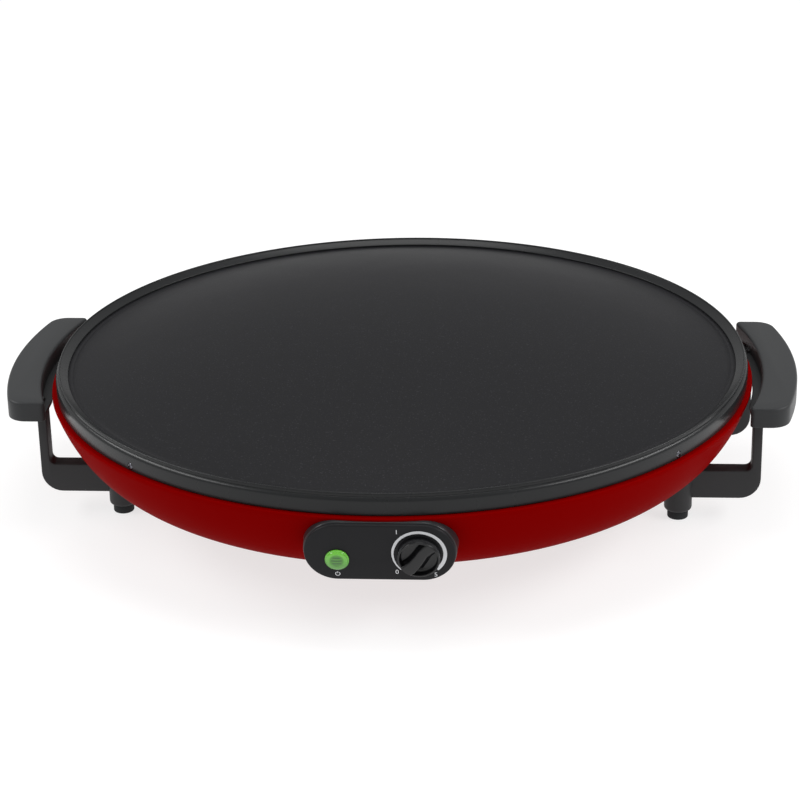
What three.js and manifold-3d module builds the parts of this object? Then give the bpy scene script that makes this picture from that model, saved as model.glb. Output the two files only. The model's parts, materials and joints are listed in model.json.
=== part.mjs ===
// Electric roti maker: a round domed griddle plate over a pressed steel bowl.
// Millimetres, +Z up. The plate's axis is the Z axis while the pieces are made,
// and the finished group is moved so that its origin is the middle of its footprint.

import * as THREE from 'three';
import { mergeVertices } from 'three/addons/utils/BufferGeometryUtils.js';
import Module from 'manifold-3d';

const wasm = await Module();
wasm.setup();

// Sizes shared by the whole cooker
const fitGap = 0.3;
const overrun = 3;
const weldSize = 0.001;
const largeSides = 48;
const smallSides = 8;

// Rim ring
const ringRadius = 227.5;
const ringWall = 2.5;
const ringLipReach = 8;
const ringLipThick = 1;
const ringCrest = 4.5;

// Bowl of steel sheet, with its ledge, neck and lip
const sheetWall = 1.5;
const shoulderProud = 3.1;
const shoulderZ = 80.8;
const shoulderRound = 1.2;
const bowlDepth = 52.8;
const neckClear = 0.4;
const neckHeight = 6.1;
const lipWidth = 7.1;

// Griddle plate and its gasket
const gasketThick = 0.8;
const gasketInset = 2.1;
const flangeThick = 2.1;
const flangeInset = 2.1;
const gutterWidth = 6.5;
const gutterDepth = 0.4;
const plateCrown = 34;
const plateWall = 3.2;

// Arms, each an upright, a bar under the bowl and a foot post
const armSetback = 2;
const armWidth = 6;
const armFrontY = 56.5;
const armThick = 12;
const barBottomZ = 14.4;
const barHeight = 19.4;
const armOuterRound = 13.5;
const armInnerRound = 4;
const lugThick = 4.2;
const lugReach = 11.2;
const lugInset = 2.2;

// Feet
const footInset = 52.7;
const footSetback = 2.9;
const postRadius = 9;
const postChamfer = 2.5;
const padRadius = 6.75;
const padHeight = 5.7;
const padStemRadius = 3;
const padStemLength = 6;
const bossRadius = 7;
const bossHeight = 8.5;

// Side grips
const gripGap = 6.2;
const gripWidth = 22.6;
const gripOverhang = 20.5;
const gripDrop = 7.8;
const gripHeight = 13.3;
const gripWall = 2.5;
const gripEdgeRound = 2.4;
const gripOuterCorner = 13;
const gripInnerCorner = 3;
const gripBossRadius = 4.2;
const gripLipClear = 1;

// Screws
const rimScrewHead = 2.15;
const rimScrewHeadHeight = 1.3;
const rimScrewSink = 0.9;
const rimScrewShank = 1.2;
const rimScrewLength = 7;
const rimScrewRise = 2.7;
const rimScrewHeadClear = 0.25;
const rimScrewTurnDegrees = 4.35;
const rimScrewSpreadDegrees = 46.75;
const screwShank = 1.75;
const screwHead = 3.5;
const screwHeadHeight = 2.2;
const slotWidth = 0.9;
const slotDepth = 1;
const footScrewStop = 6.8;
const gripScrewLength = 8;
const gripScrewFlush = 0.2;
const sunkRimShare = 0.9;
const panRimShare = 0.6;
const panTopShare = 0.7;
const slotReachShare = 0.65;

// Control panel on the front of the bowl
const panelX = 1.7;
const panelSink = 0.2;
const panelTiltDegrees = 11;
const faceWidth = 88.8;
const faceHeight = 39.4;
const faceThick = 2.2;
const faceBevel = 0.7;
const housingProud = 0.4;
const housingWall = 2.2;
const housingReach = 26;
const housingTaperShare = 0.04;
const housingBossInset = 6.4;
const housingBossRadius = 3.6;
const panelRiseShare = 0.58;
const pegRadius = 2;
const pegLength = 4;
const windowMargin = 7.6;
const windowHeight = 23;
const knobInset = 21.4;
const knobRadius = 12.35;
const knobRimHeight = 6;
const knobRimWall = 1.1;
const knobDish = 3.6;
const knobHeight = 6.8;
const knobTopWall = 1.6;
const knobBarWidth = 8;
const knobBarHook = -1;
const knobRestDegrees = 50;
const spindleRadius = 3;
const spindleEngage = 6;
const lampInset = 19.4;
const lampY = -4.7;
const lensRadius = 7.1;
const lensDome = 3.2;
const lensStemRadius = 5.4;
const lensStemLength = 4;
const lampBodyRadius = 4.4;
const lampBodyLength = 18;
const lampFlangeRadius = 7.4;
const lampFlangeThick = 1.4;
const bracketDepth = 27;
const bracketThick = 1.2;
const bracketMargin = 6;
const bracketHeightShare = 0.568;
const housingScrewLength = 21;
const thermostatRadius = 11.2;
const thermostatLength = 17;
const thermostatNeckRadius = 5.5;
const thermostatNeckLength = 5;
const thermostatNutRadius = 8.5;
const thermostatNutThick = 2.5;
const thermostatTabWidth = 6;
const thermostatTabLength = 8;
const thermostatTabThick = 0.8;

// Heater, its supports and the reflector below it
const heaterInset = 58;
const heaterPitch = 62;
const heaterTube = 3.25;
const heaterGap = 3;
const heaterStartDegrees = 15;
const heaterSweepDegrees = 690;
const heaterStepDegrees = 15;
const heaterPinRadius = 1.6;
const heaterPinLength = 14;
const supportDegrees = [45, 135, 225, 315];
const supportThick = 1.5;
const supportMargin = 8;
const supportHoldShare = 0.45;
const supportFootWidth = 12;
const supportFootInset = 14;
const reflectorDrop = 6.8;
const reflectorThick = 0.8;
const reflectorMargin = 11;
const reflectorRimHeight = 6;
const reflectorFlare = 3;
const pillarRadius = 4.5;
const pillarInset = 31;
const pillarScrewLength = 12;

// Cord entry at the rear and what lies inside the bowl
const glandRiseShare = 0.4545;
const glandSink = 4.6;
const glandFlangeRadius = 10;
const glandStemRadius = 6.5;
const glandStemLength = 26;
const glandBore = 3.6;
const glandNutRadius = 10.5;
const glandNutThick = 14;
const blockX = -30;
const blockOffset = 2;
const blockWidth = 34;
const blockDepth = 18;
const blockHeight = 14;
const blockWellRadius = 3;
const blockWellDepth = 8;
const fuseRadius = 3.5;
const fuseLength = 26;
const fuseX = 60;
const fuseY = -70;
const clipThick = 1;
const clipWidth = 8;
const clipFoot = 7;
const fuseWireRadius = 0.8;
const fuseWireLength = 7;

// Vents in the bowl's floor
const ventCount = 10;
const ventRadius = 78;
const ventLength = 30;
const ventWidth = 5;

// Heights and radii worked out from the sizes above
const floorZ = shoulderZ - bowlDepth;
const shoulderRadius = ringRadius + shoulderProud;
const neckRadius = ringRadius - ringWall - neckClear;
const lipTopZ = shoulderZ + neckHeight;
const lipInnerRadius = neckRadius - lipWidth;
const flangeBottomZ = lipTopZ + gasketThick;
const flangeTopZ = flangeBottomZ + flangeThick;
const flangeRadius = neckRadius - flangeInset;
const domeEdgeRadius = flangeRadius - gutterWidth;
const domeEdgeZ = flangeTopZ + gutterDepth;
const domeRadius = (domeEdgeRadius ** 2 + plateCrown ** 2) / (2 * plateCrown);
const domeCentreZ = domeEdgeZ + plateCrown - domeRadius;
const gripInnerRadius = shoulderRadius + gripGap;
const gripOuterRadius = gripInnerRadius + gripWidth;
const gripHalfLength = armFrontY + gripOverhang;
const gripBottomZ = shoulderZ - gripDrop;
const armOuterX = gripInnerRadius - armSetback;
const footX = armOuterX - footInset;
const footY = armFrontY - footSetback;
const bossTopZ = floorZ + bossHeight;
const panelY = shoulderRadius - panelSink;
const panelZ = floorZ + bowlDepth * panelRiseShare;
const housingBossX = faceWidth / 2 - housingBossInset;
const bracketWidth = 2 * (housingBossX + bracketMargin);
const bracketHeight = bowlDepth * bracketHeightShare;
const knobX = faceWidth / 2 - knobInset;
const lampX = lampInset - faceWidth / 2;
const windowWidth = knobX - lampX + 2 * windowMargin;
const windowX = (knobX + lampX) / 2;
const heaterOuterRadius = domeEdgeRadius - heaterInset;
const heaterInnerRadius = heaterOuterRadius - heaterPitch;
const reflectorRadius = heaterOuterRadius + reflectorMargin;
const reflectorZ = shoulderZ - reflectorDrop;
const pillarPlace = reflectorRadius - pillarInset;
const blockY = pillarPlace + blockOffset;
const glandY = shoulderRadius - glandSink;
const glandZ = floorZ + bowlDepth * glandRiseShare;
const footScrewLength = bossTopZ - padHeight - padStemLength - footScrewStop;
const ringBottomZ = shoulderZ + fitGap;
const ringLipZ = flangeTopZ + fitGap;
const rimScrewZ = ringBottomZ + rimScrewRise;
const barTopZ = barBottomZ + barHeight;
const uprightInnerX = armOuterX - armWidth;
const lugBottomZ = gripBottomZ + fitGap;
const lugTopZ = lugBottomZ + lugThick;
const lugEndX = armOuterX + lugReach;
const armMidY = armFrontY - armThick / 2;
const gripScrewX = armOuterX + lugReach / 2;
const gripTopZ = gripBottomZ + gripHeight;
const gripScrewSeatZ = lugBottomZ + screwHeadHeight + gripScrewFlush;
const bore = screwShank + fitGap;
const thermostatFrontZ = -bracketDepth - bracketThick - fitGap;
const neckLength = bracketThick + 2 * fitGap + thermostatNutThick + thermostatNeckLength;
const spindleTopZ = knobHeight - knobTopWall;

// Outline of the bowl's wall, as shares of the shoulder radius and the bowl's depth
const bowlWallShares = [
  [0.7155, 0], [0.822, 0.062], [0.87, 0.156], [0.9085, 0.287],
  [0.946, 0.47], [0.977, 0.72], [1, 0.985],
];

// Crest of the ring, as shares of its wall inward and of its crest height upward
const ringCrestShares = [
  [0, 0.24], [0.2, 0.5], [0.46, 0.48], [0.5, 0.82], [0.84, 1], [1.2, 0.84],
];

function material(color, roughness, metalness) {
  return new THREE.MeshStandardMaterial({ color, roughness, metalness });
}

const redPaint = material('#7a0203', 0.32, 0.1);
const blackMetal = material('#3a3a3c', 0.45, 0.3);
const plateCoat = material('#303032', 0.6, 0.1);
const blackPlastic = material('#434345', 0.5, 0);
const facePlastic = material('#28282a', 0.35, 0);
const darkRubber = material('#232323', 0.9, 0);
const lampGreen = material('#7fd45a', 0.15, 0);
const bareSteel = material('#b8babd', 0.35, 0.9);
const heaterSheath = material('#6d6a66', 0.5, 0.8);
const fibre = material('#c9c3b4', 0.95, 0);
const ceramic = material('#e6e1d6', 0.7, 0);

// A closed geometry as a solid that can be joined and cut, with its faces pointing out
function solid(geometry) {
  const bare = geometry.clone();
  bare.deleteAttribute('normal');
  bare.deleteAttribute('uv');
  const merged = mergeVertices(bare, weldSize);
  const place = merged.attributes.position;
  const corners = [];
  const a = new THREE.Vector3();
  const b = new THREE.Vector3();
  const c = new THREE.Vector3();
  let volume = 0;
  for (let i = 0; i < merged.index.count; i += 3) {
    const [p, q, r] = [merged.index.getX(i), merged.index.getX(i + 1), merged.index.getX(i + 2)];
    if (p === q || q === r || r === p) continue;
    corners.push(p, q, r);
    a.fromBufferAttribute(place, p);
    b.fromBufferAttribute(place, q);
    c.fromBufferAttribute(place, r);
    volume += a.dot(b.cross(c));
  }
  if (volume < 0) corners.reverse();
  return new wasm.Manifold(new wasm.Mesh({
    numProp: 3,
    vertProperties: new Float32Array(place.array),
    triVerts: new Uint32Array(corners),
  }));
}

function geometryOf(shape) {
  const { vertProperties, triVerts } = shape.getMesh();
  const geometry = new THREE.BufferGeometry();
  geometry.setAttribute('position', new THREE.BufferAttribute(new Float32Array(vertProperties), 3));
  geometry.setIndex(new THREE.BufferAttribute(new Uint32Array(triVerts), 1));
  geometry.computeVertexNormals();
  return geometry;
}

function addPiece(parent, name, shape, look) {
  const geometry = shape.isBufferGeometry ? shape : geometryOf(shape);
  const mesh = new THREE.Mesh(geometry, look);
  mesh.name = name;
  parent.add(mesh);
  return mesh;
}

// A solid of revolution about +Z from [radius, height] points
function turned(points, sides = smallSides) {
  const profile = points.map(([radius, height]) => new THREE.Vector2(radius, height));
  return new THREE.LatheGeometry(profile, sides).rotateX(Math.PI / 2);
}

function rod(radius, fromZ, toZ, sides = smallSides) {
  return turned([[0, fromZ], [radius, fromZ], [radius, toZ], [0, toZ]], sides);
}

// A cutter for a round hole whose flats stay outside the stated radius
function bored(radius, fromZ, toZ, sides = smallSides) {
  return rod(radius / Math.cos(Math.PI / sides), fromZ, toZ, sides);
}

function block(fromX, toX, fromY, toY, fromZ, toZ) {
  const box = new THREE.BoxGeometry(toX - fromX, toY - fromY, toZ - fromZ);
  return box.translate((fromX + toX) / 2, (fromY + toY) / 2, (fromZ + toZ) / 2);
}

function extruded(shape, fromZ, toZ, curveSegments = 8) {
  const options = { depth: toZ - fromZ, bevelEnabled: false, curveSegments };
  return new THREE.ExtrudeGeometry(shape, options).translate(0, 0, fromZ);
}

// A stadium outline with round ends, centred on a point
function stadium(width, height, centreX = 0) {
  const radius = height / 2;
  const half = width / 2 - radius;
  const shape = new THREE.Shape();
  shape.absarc(centreX + half, 0, radius, -Math.PI / 2, Math.PI / 2, false);
  shape.absarc(centreX - half, 0, radius, Math.PI / 2, Math.PI * 1.5, false);
  return shape;
}

// The same solid on the other side of the cooker
function mirrored(geometry, signX, signY) {
  return geometryOf(solid(geometry.clone().scale(signX, signY, 1)));
}

// A line of points moved sideways by a distance, to the left of its direction
function offsetLine(points, distance) {
  const normals = points.slice(1).map(([x, y], i) => {
    const [px, py] = points[i];
    const length = Math.hypot(x - px, y - py);
    return [(py - y) / length, (x - px) / length];
  });
  return points.map(([x, y], i) => {
    const before = normals[Math.max(i - 1, 0)];
    const after = normals[Math.min(i, normals.length - 1)];
    const spread = 1 + before[0] * after[0] + before[1] * after[1];
    const stepX = (distance * (before[0] + after[0])) / spread;
    const stepY = (distance * (before[1] + after[1])) / spread;
    return [x + stepX, y + stepY];
  });
}

const bowlWall = bowlWallShares.map(([radiusShare, depthShare]) => [
  shoulderRadius * radiusShare, floorZ + bowlDepth * depthShare - shoulderRound * depthShare,
]);

// The outer line of the bowl, from the middle of its floor to the edge of its lip
const bowlOuterLine = [
  [0, floorZ], ...bowlWall, [shoulderRadius - shoulderRound, shoulderZ],
  [neckRadius, shoulderZ], [neckRadius, lipTopZ], [lipInnerRadius, lipTopZ],
];

// The space that the bowl fills up to its shoulder, grown outward or shrunk by a distance
function bowlSpace(grow) {
  const line = [[0, floorZ], ...bowlWall, [shoulderRadius - shoulderRound, shoulderZ], [0, shoulderZ]];
  return solid(turned(offsetLine(line, -grow), largeSides));
}

// Height of the plate's underside at a radius
function plateUnderZ(radius) {
  return domeCentreZ + Math.sqrt((domeRadius - plateWall) ** 2 - radius ** 2);
}

// A screw with its head's seat at zero, its head above and its shank below
function screw(length, headRadius, headHeight, shankRadius, countersunk = false) {
  const seatRadius = countersunk ? shankRadius + weldSize : headRadius;
  const rimHeight = headHeight * (countersunk ? sunkRimShare : panRimShare);
  const topRadius = countersunk ? headRadius : headRadius * panTopShare;
  const body = solid(turned([
    [0, -length], [shankRadius, -length], [shankRadius, 0], [seatRadius, 0],
    [headRadius, rimHeight], [topRadius, headHeight], [0, headHeight],
  ]));
  const slotHalf = headRadius * slotReachShare;
  const slotBottom = headHeight - Math.min(slotDepth, headHeight * panRimShare);
  const slot = block(-slotHalf, slotHalf, -slotWidth / 2, slotWidth / 2, slotBottom, headHeight + overrun);
  return geometryOf(body.subtract(solid(slot)));
}

const cooker = new THREE.Group();
const sides = [
  { side: 'left', sign: -1 },
  { side: 'right', sign: 1 },
];
const ends = [
  { end: 'front', sign: -1 },
  { end: 'rear', sign: 1 },
];

// Directions of the rim screws, clockwise from the front as seen from below
const rimScrewAngles = [-1, 1].flatMap((way) => [0, 180].map((turn) => (
  THREE.MathUtils.degToRad(rimScrewTurnDegrees + way * rimScrewSpreadDegrees + turn)
)));
const pillarAngles = [90, 210, 330].map((degrees) => THREE.MathUtils.degToRad(degrees));

// The panel's own frame: X to the right, Y up its face and Z out of it
const panelMatrix = new THREE.Matrix4()
  .makeRotationX(Math.PI / 2 + THREE.MathUtils.degToRad(panelTiltDegrees))
  .setPosition(panelX, -panelY, panelZ);
const intoPanel = panelMatrix.clone().invert();

function cookingPlate() {
  const steps = 5;
  const underEdge = Math.sqrt((domeRadius - plateWall) ** 2 - (flangeBottomZ - domeCentreZ) ** 2);
  const top = [];
  const under = [];
  for (let i = 0; i <= steps; i += 1) {
    const topRadius = domeEdgeRadius * (i / steps);
    top.push([topRadius, domeCentreZ + Math.sqrt(domeRadius ** 2 - topRadius ** 2)]);
    const radius = underEdge * (i / steps);
    under.push([radius, plateUnderZ(radius)]);
  }
  const edge = [
    [domeEdgeRadius + gutterDepth, flangeTopZ], [flangeRadius, flangeTopZ], [flangeRadius, flangeBottomZ],
  ];
  const line = [...under, ...[...top, ...edge].reverse()];
  addPiece(cooker, 'cooking_plate', turned(line, largeSides), plateCoat);
}

function plateGasket() {
  const outer = neckRadius - gasketInset;
  addPiece(cooker, 'plate_gasket', turned([
    [lipInnerRadius, lipTopZ], [outer, lipTopZ], [outer, flangeBottomZ],
    [lipInnerRadius, flangeBottomZ], [lipInnerRadius, lipTopZ],
  ], largeSides), fibre);
}

// A radial rod for the rim screws' bores
function radialRod(radius, from, to, angle) {
  return solid(bored(radius, from, to).rotateX(Math.PI / 2).rotateZ(angle).translate(0, 0, rimScrewZ));
}

function rimRing() {
  const inner = ringRadius - ringWall;
  const crest = ringCrestShares.map(([inward, up]) => [
    ringRadius - ringWall * inward, ringLipZ + ringCrest * up,
  ]);
  const lipRadius = ringRadius - ringLipReach;
  const start = [inner, ringBottomZ];
  let ring = solid(turned([
    start, [ringRadius, ringBottomZ], ...crest,
    [lipRadius, ringLipZ + ringLipThick], [lipRadius, ringLipZ], [inner, ringLipZ], start,
  ], largeSides));
  for (const angle of rimScrewAngles) {
    const sinkRadius = rimScrewHead + rimScrewHeadClear;
    ring = ring.subtract(radialRod(sinkRadius, ringRadius - rimScrewSink, ringRadius + overrun, angle));
    ring = ring.subtract(radialRod(rimScrewShank + fitGap, inner - overrun, ringRadius, angle));
  }
  addPiece(cooker, 'rim_ring', ring, blackMetal);
}

function rimScrews() {
  const seat = ringRadius - rimScrewSink + fitGap / 3;
  const shape = screw(rimScrewLength, rimScrewHead, rimScrewHeadHeight, rimScrewShank);
  rimScrewAngles.forEach((angle, i) => {
    const turnedOut = shape.clone().rotateX(Math.PI / 2).rotateZ(angle);
    turnedOut.translate(seat * Math.sin(angle), -seat * Math.cos(angle), rimScrewZ);
    addPiece(cooker, `rim_screw_${i + 1}`, turnedOut, bareSteel);
  });
}

function baseShell() {
  const inner = offsetLine(bowlOuterLine, sheetWall);
  let shell = solid(turned([...bowlOuterLine, ...inner.reverse()], largeSides));
  const filled = bowlSpace(0);
  const boreBottom = floorZ - overrun;
  for (const x of [-footX, footX]) {
    for (const y of [-footY, footY]) {
      const boss = solid(rod(bossRadius, boreBottom, bossTopZ).translate(x, y, 0));
      shell = shell.add(boss.intersect(filled));
      shell = shell.subtract(solid(bored(bore, boreBottom, bossTopZ + overrun).translate(x, y, 0)));
    }
  }
  for (const angle of pillarAngles) {
    const hole = bored(bore, boreBottom, floorZ + sheetWall + overrun).translate(pillarPlace, 0, 0);
    shell = shell.subtract(solid(hole.rotateZ(angle)));
  }
  for (const angle of rimScrewAngles) {
    shell = shell.subtract(radialRod(rimScrewShank + fitGap, lipInnerRadius, shoulderRadius, angle));
  }
  const opening = extruded(stadium(windowWidth, windowHeight, windowX), -housingReach, overrun);
  shell = shell.subtract(solid(opening.applyMatrix4(panelMatrix)));
  for (const x of [-housingBossX, housingBossX]) {
    const hole = bored(bore, -housingReach, overrun).translate(x, 0, 0);
    shell = shell.subtract(solid(hole.applyMatrix4(panelMatrix)));
  }
  const cordHole = bored(glandStemRadius + fitGap, -overrun, glandStemLength + overrun);
  shell = shell.subtract(solid(cordHole.rotateX(Math.PI / 2).translate(0, glandY, glandZ)));
  for (let i = 0; i < ventCount; i += 1) {
    const slotTop = floorZ + sheetWall + overrun;
    const slot = extruded(stadium(ventLength, ventWidth, ventRadius), boreBottom, slotTop, 2);
    shell = shell.subtract(solid(slot.rotateZ(((i + 0.5) / ventCount) * 2 * Math.PI)));
  }
  addPiece(cooker, 'base_shell', shell, redPaint);
}

// Outline of the arm seen from the front, at its real place in X and Z
function armOutline() {
  const outline = new THREE.Shape();
  const down = -Math.PI / 2;
  outline.moveTo(footX, barBottomZ);
  outline.lineTo(armOuterX - armOuterRound, barBottomZ);
  outline.absarc(armOuterX - armOuterRound, barBottomZ + armOuterRound, armOuterRound, down, 0, false);
  outline.lineTo(armOuterX, lugBottomZ);
  outline.lineTo(lugEndX, lugBottomZ);
  outline.lineTo(lugEndX, lugTopZ);
  outline.lineTo(uprightInnerX + lugInset, lugTopZ);
  outline.lineTo(uprightInnerX + lugInset, gripBottomZ);
  outline.lineTo(uprightInnerX, gripBottomZ);
  outline.lineTo(uprightInnerX, barTopZ + armInnerRound);
  outline.absarc(uprightInnerX - armInnerRound, barTopZ + armInnerRound, armInnerRound, 0, down, true);
  outline.lineTo(footX, barTopZ);
  outline.closePath();
  return outline;
}

function armSolid() {
  const flat = extruded(armOutline(), 0, armThick, 4).rotateX(Math.PI / 2).translate(0, armFrontY, 0);
  const post = turned([
    [0, padHeight], [postRadius - postChamfer, padHeight], [postRadius, padHeight + postChamfer],
    [postRadius, bossTopZ], [0, bossTopZ],
  ], 12).translate(footX, footY, 0);
  let arm = solid(flat).add(solid(post)).subtract(bowlSpace(fitGap));
  const stemHole = bored(padStemRadius + fitGap, 0, padHeight + padStemLength + fitGap);
  arm = arm.subtract(solid(stemHole.translate(footX, footY, 0)));
  const screwBottom = bossTopZ - footScrewLength - fitGap;
  arm = arm.subtract(solid(bored(bore, screwBottom, bossTopZ + overrun).translate(footX, footY, 0)));
  const sink = turned([
    [0, lugBottomZ - fitGap], [screwHead + fitGap, lugBottomZ - fitGap],
    [screwHead + fitGap, gripScrewSeatZ - screwHeadHeight * sunkRimShare + fitGap],
    [bore, gripScrewSeatZ + fitGap], [bore, lugTopZ + overrun], [0, lugTopZ + overrun],
  ]).translate(gripScrewX, armMidY, 0);
  return geometryOf(arm.subtract(solid(sink)));
}

function arms() {
  const shape = armSolid();
  for (const { side, sign: signX } of sides) {
    for (const { end, sign: signY } of ends) {
      addPiece(cooker, `${side}_${end}_arm`, mirrored(shape, signX, signY), blackPlastic);
    }
  }
}

// Outline of a grip seen from above, inset all round by a distance
function gripOutline(inset) {
  const inner = gripInnerRadius + inset;
  const outer = gripOuterRadius - inset;
  const endY = gripHalfLength - inset;
  const outerRound = gripOuterCorner - inset;
  const innerRound = gripInnerCorner + inset;
  const outerY = endY - outerRound;
  const outerX = Math.sqrt((outer - outerRound) ** 2 - outerY ** 2);
  const innerY = endY - innerRound;
  const innerX = Math.sqrt((inner + innerRound) ** 2 - innerY ** 2);
  const outerAngle = Math.atan2(outerY, outerX);
  const innerAngle = Math.atan2(innerY, innerX);
  const outline = new THREE.Shape();
  outline.absarc(0, 0, outer, -outerAngle, outerAngle, false);
  outline.absarc(outerX, outerY, outerRound, outerAngle, Math.PI / 2, false);
  outline.absarc(innerX, innerY, innerRound, Math.PI / 2, Math.PI + innerAngle, false);
  outline.absarc(0, 0, inner, innerAngle, -innerAngle, true);
  outline.absarc(innerX, -innerY, innerRound, Math.PI - innerAngle, Math.PI * 1.5, false);
  outline.absarc(outerX, -outerY, outerRound, -Math.PI / 2, -outerAngle, false);
  return outline;
}

function gripSolid() {
  const body = new THREE.ExtrudeGeometry(gripOutline(0), {
    depth: gripHeight, bevelThickness: gripEdgeRound, bevelSize: gripEdgeRound,
    bevelOffset: -gripEdgeRound, bevelSegments: 2, curveSegments: 5,
  }).translate(0, 0, gripBottomZ - gripEdgeRound);
  const farX = gripOuterRadius + overrun;
  const farY = gripHalfLength + overrun;
  const under = block(0, farX, -farY, farY, gripBottomZ - 2 * gripEdgeRound, gripBottomZ);
  const pocket = extruded(gripOutline(gripWall), gripBottomZ - overrun, gripTopZ - gripWall, 4);
  let grip = solid(body).subtract(solid(under)).subtract(solid(pocket));
  const lipInner = shoulderRadius + gripLipClear;
  const lipOuter = gripInnerRadius + gripWall / 2;
  const lipTop = gripBottomZ + gripWall;
  const lip = turned([
    [lipInner, gripBottomZ], [lipOuter, gripBottomZ], [lipOuter, lipTop], [lipInner, lipTop],
    [lipInner, gripBottomZ],
  ], largeSides);
  const lipEnd = armMidY - armThick / 2 - fitGap;
  const betweenArms = block(0, farX, -lipEnd, lipEnd, gripBottomZ - overrun, gripTopZ);
  grip = grip.add(solid(lip).intersect(solid(betweenArms)));
  for (const y of [-armMidY, armMidY]) {
    const boss = rod(gripBossRadius, lugTopZ + fitGap, gripTopZ - gripWall + fitGap);
    grip = grip.add(solid(boss.translate(gripScrewX, y, 0)));
    const holeTop = gripScrewSeatZ + gripScrewLength + fitGap;
    grip = grip.subtract(solid(bored(bore, gripBottomZ, holeTop).translate(gripScrewX, y, 0)));
    const reach = armThick / 2 + fitGap;
    const notch = block(0, lugEndX + fitGap, y - reach, y + reach, gripBottomZ - overrun, lugTopZ + fitGap);
    grip = grip.subtract(solid(notch));
  }
  return geometryOf(grip);
}

function grips() {
  const shape = gripSolid();
  for (const { side, sign } of sides) {
    addPiece(cooker, `${side}_grip`, mirrored(shape, sign, 1), blackPlastic);
  }
}

function gripScrews() {
  const shape = screw(gripScrewLength, screwHead, screwHeadHeight, screwShank, true).rotateX(Math.PI);
  let count = 0;
  for (const signX of [-1, 1]) {
    for (const signY of [-1, 1]) {
      count += 1;
      const piece = addPiece(cooker, `grip_screw_${count}`, shape, bareSteel);
      piece.position.set(signX * gripScrewX, signY * armMidY, gripScrewSeatZ);
    }
  }
}

function feet() {
  const pad = turned([
    [0, 0], [padRadius - padHeight / 6, 0], [padRadius, padHeight / 6], [padRadius, padHeight],
    [padStemRadius, padHeight], [padStemRadius, padHeight + padStemLength], [0, padHeight + padStemLength],
  ]);
  const shape = screw(footScrewLength, screwHead, screwHeadHeight, screwShank);
  let count = 0;
  for (const signX of [-1, 1]) {
    for (const signY of [-1, 1]) {
      count += 1;
      const rubber = addPiece(cooker, `foot_pad_${count}`, pad, darkRubber);
      rubber.position.set(signX * footX, signY * footY, 0);
      const fixing = addPiece(cooker, `foot_screw_${count}`, shape, bareSteel);
      fixing.position.set(signX * footX, signY * footY, bossTopZ);
    }
  }
}

// The empty space inside the bowl, smaller than its inner wall by a gap
function bowlInside(gap) {
  return bowlSpace(-sheetWall - gap);
}

const panel = new THREE.Group();
panel.applyMatrix4(panelMatrix);

// A solid of the cooker seen from the panel's own frame
function seenFromPanel(shape) {
  return solid(geometryOf(shape).applyMatrix4(intoPanel));
}

function controlHousing() {
  const frontZ = -faceThick - fitGap;
  const backZ = -housingReach;
  const width = faceWidth + 2 * housingProud;
  const height = faceHeight + 2 * housingProud;
  const outer = extruded(stadium(width, height), backZ, frontZ, 10);
  const place = outer.attributes.position;
  for (let i = 0; i < place.count; i += 1) {
    const grow = 1 + (housingTaperShare * (frontZ - place.getZ(i))) / housingReach;
    place.setXY(i, place.getX(i) * grow, place.getY(i) * grow);
  }
  const cavity = stadium(width - 2 * housingWall, height - 2 * housingWall);
  let housing = solid(outer).subtract(solid(extruded(cavity, backZ - overrun, overrun, 8)));
  for (const sign of [-1, 1]) {
    const x = sign * housingBossX;
    const edge = sign * (width / 2 - housingWall / 2);
    const web = block(Math.min(x, edge), Math.max(x, edge), -housingWall / 2, housingWall / 2, backZ, frontZ);
    housing = housing.add(solid(rod(housingBossRadius, backZ, frontZ).translate(x, 0, 0))).add(solid(web));
  }
  for (const x of [-housingBossX, housingBossX]) {
    housing = housing.subtract(solid(bored(bore, backZ - overrun, overrun).translate(x, 0, 0)));
    const socket = bored(pegRadius + fitGap, frontZ - pegLength, overrun);
    housing = housing.subtract(solid(socket.translate(x, 0, 0)));
  }
  const ledge = rod(shoulderRadius + fitGap, shoulderZ - 2 * shoulderRound, ringLipZ + ringCrest, largeSides);
  const kept = seenFromPanel(bowlSpace(fitGap).add(solid(ledge)));
  addPiece(panel, 'control_housing', housing.subtract(kept), blackPlastic);
}

function controlFace() {
  const body = new THREE.ExtrudeGeometry(stadium(faceWidth, faceHeight), {
    depth: faceThick, bevelThickness: faceBevel, bevelSize: faceBevel,
    bevelOffset: -faceBevel, bevelSegments: 1, curveSegments: 10,
  }).translate(0, 0, -faceThick - faceBevel);
  const behind = block(-faceWidth, faceWidth, -faceHeight, faceHeight, -2 * faceThick, -faceThick);
  let face = solid(body).subtract(solid(behind));
  face = face.subtract(solid(bored(spindleRadius + fitGap, -2 * faceThick, overrun).translate(knobX, 0, 0)));
  const lampHole = bored(lensStemRadius + fitGap, -2 * faceThick, overrun);
  face = face.subtract(solid(lampHole.translate(lampX, lampY, 0)));
  for (const x of [-housingBossX, housingBossX]) {
    const peg = rod(pegRadius, -faceThick - pegLength, -faceThick / 2);
    face = face.add(solid(peg.translate(x, 0, 0)));
  }
  addPiece(panel, 'control_face', face, facePlastic);
}

// The lens's dome, as shares of its radius and of its rise
const lensDomeShares = [[0.87, 0.5], [0.5, 0.87], [0, 1]];

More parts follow.
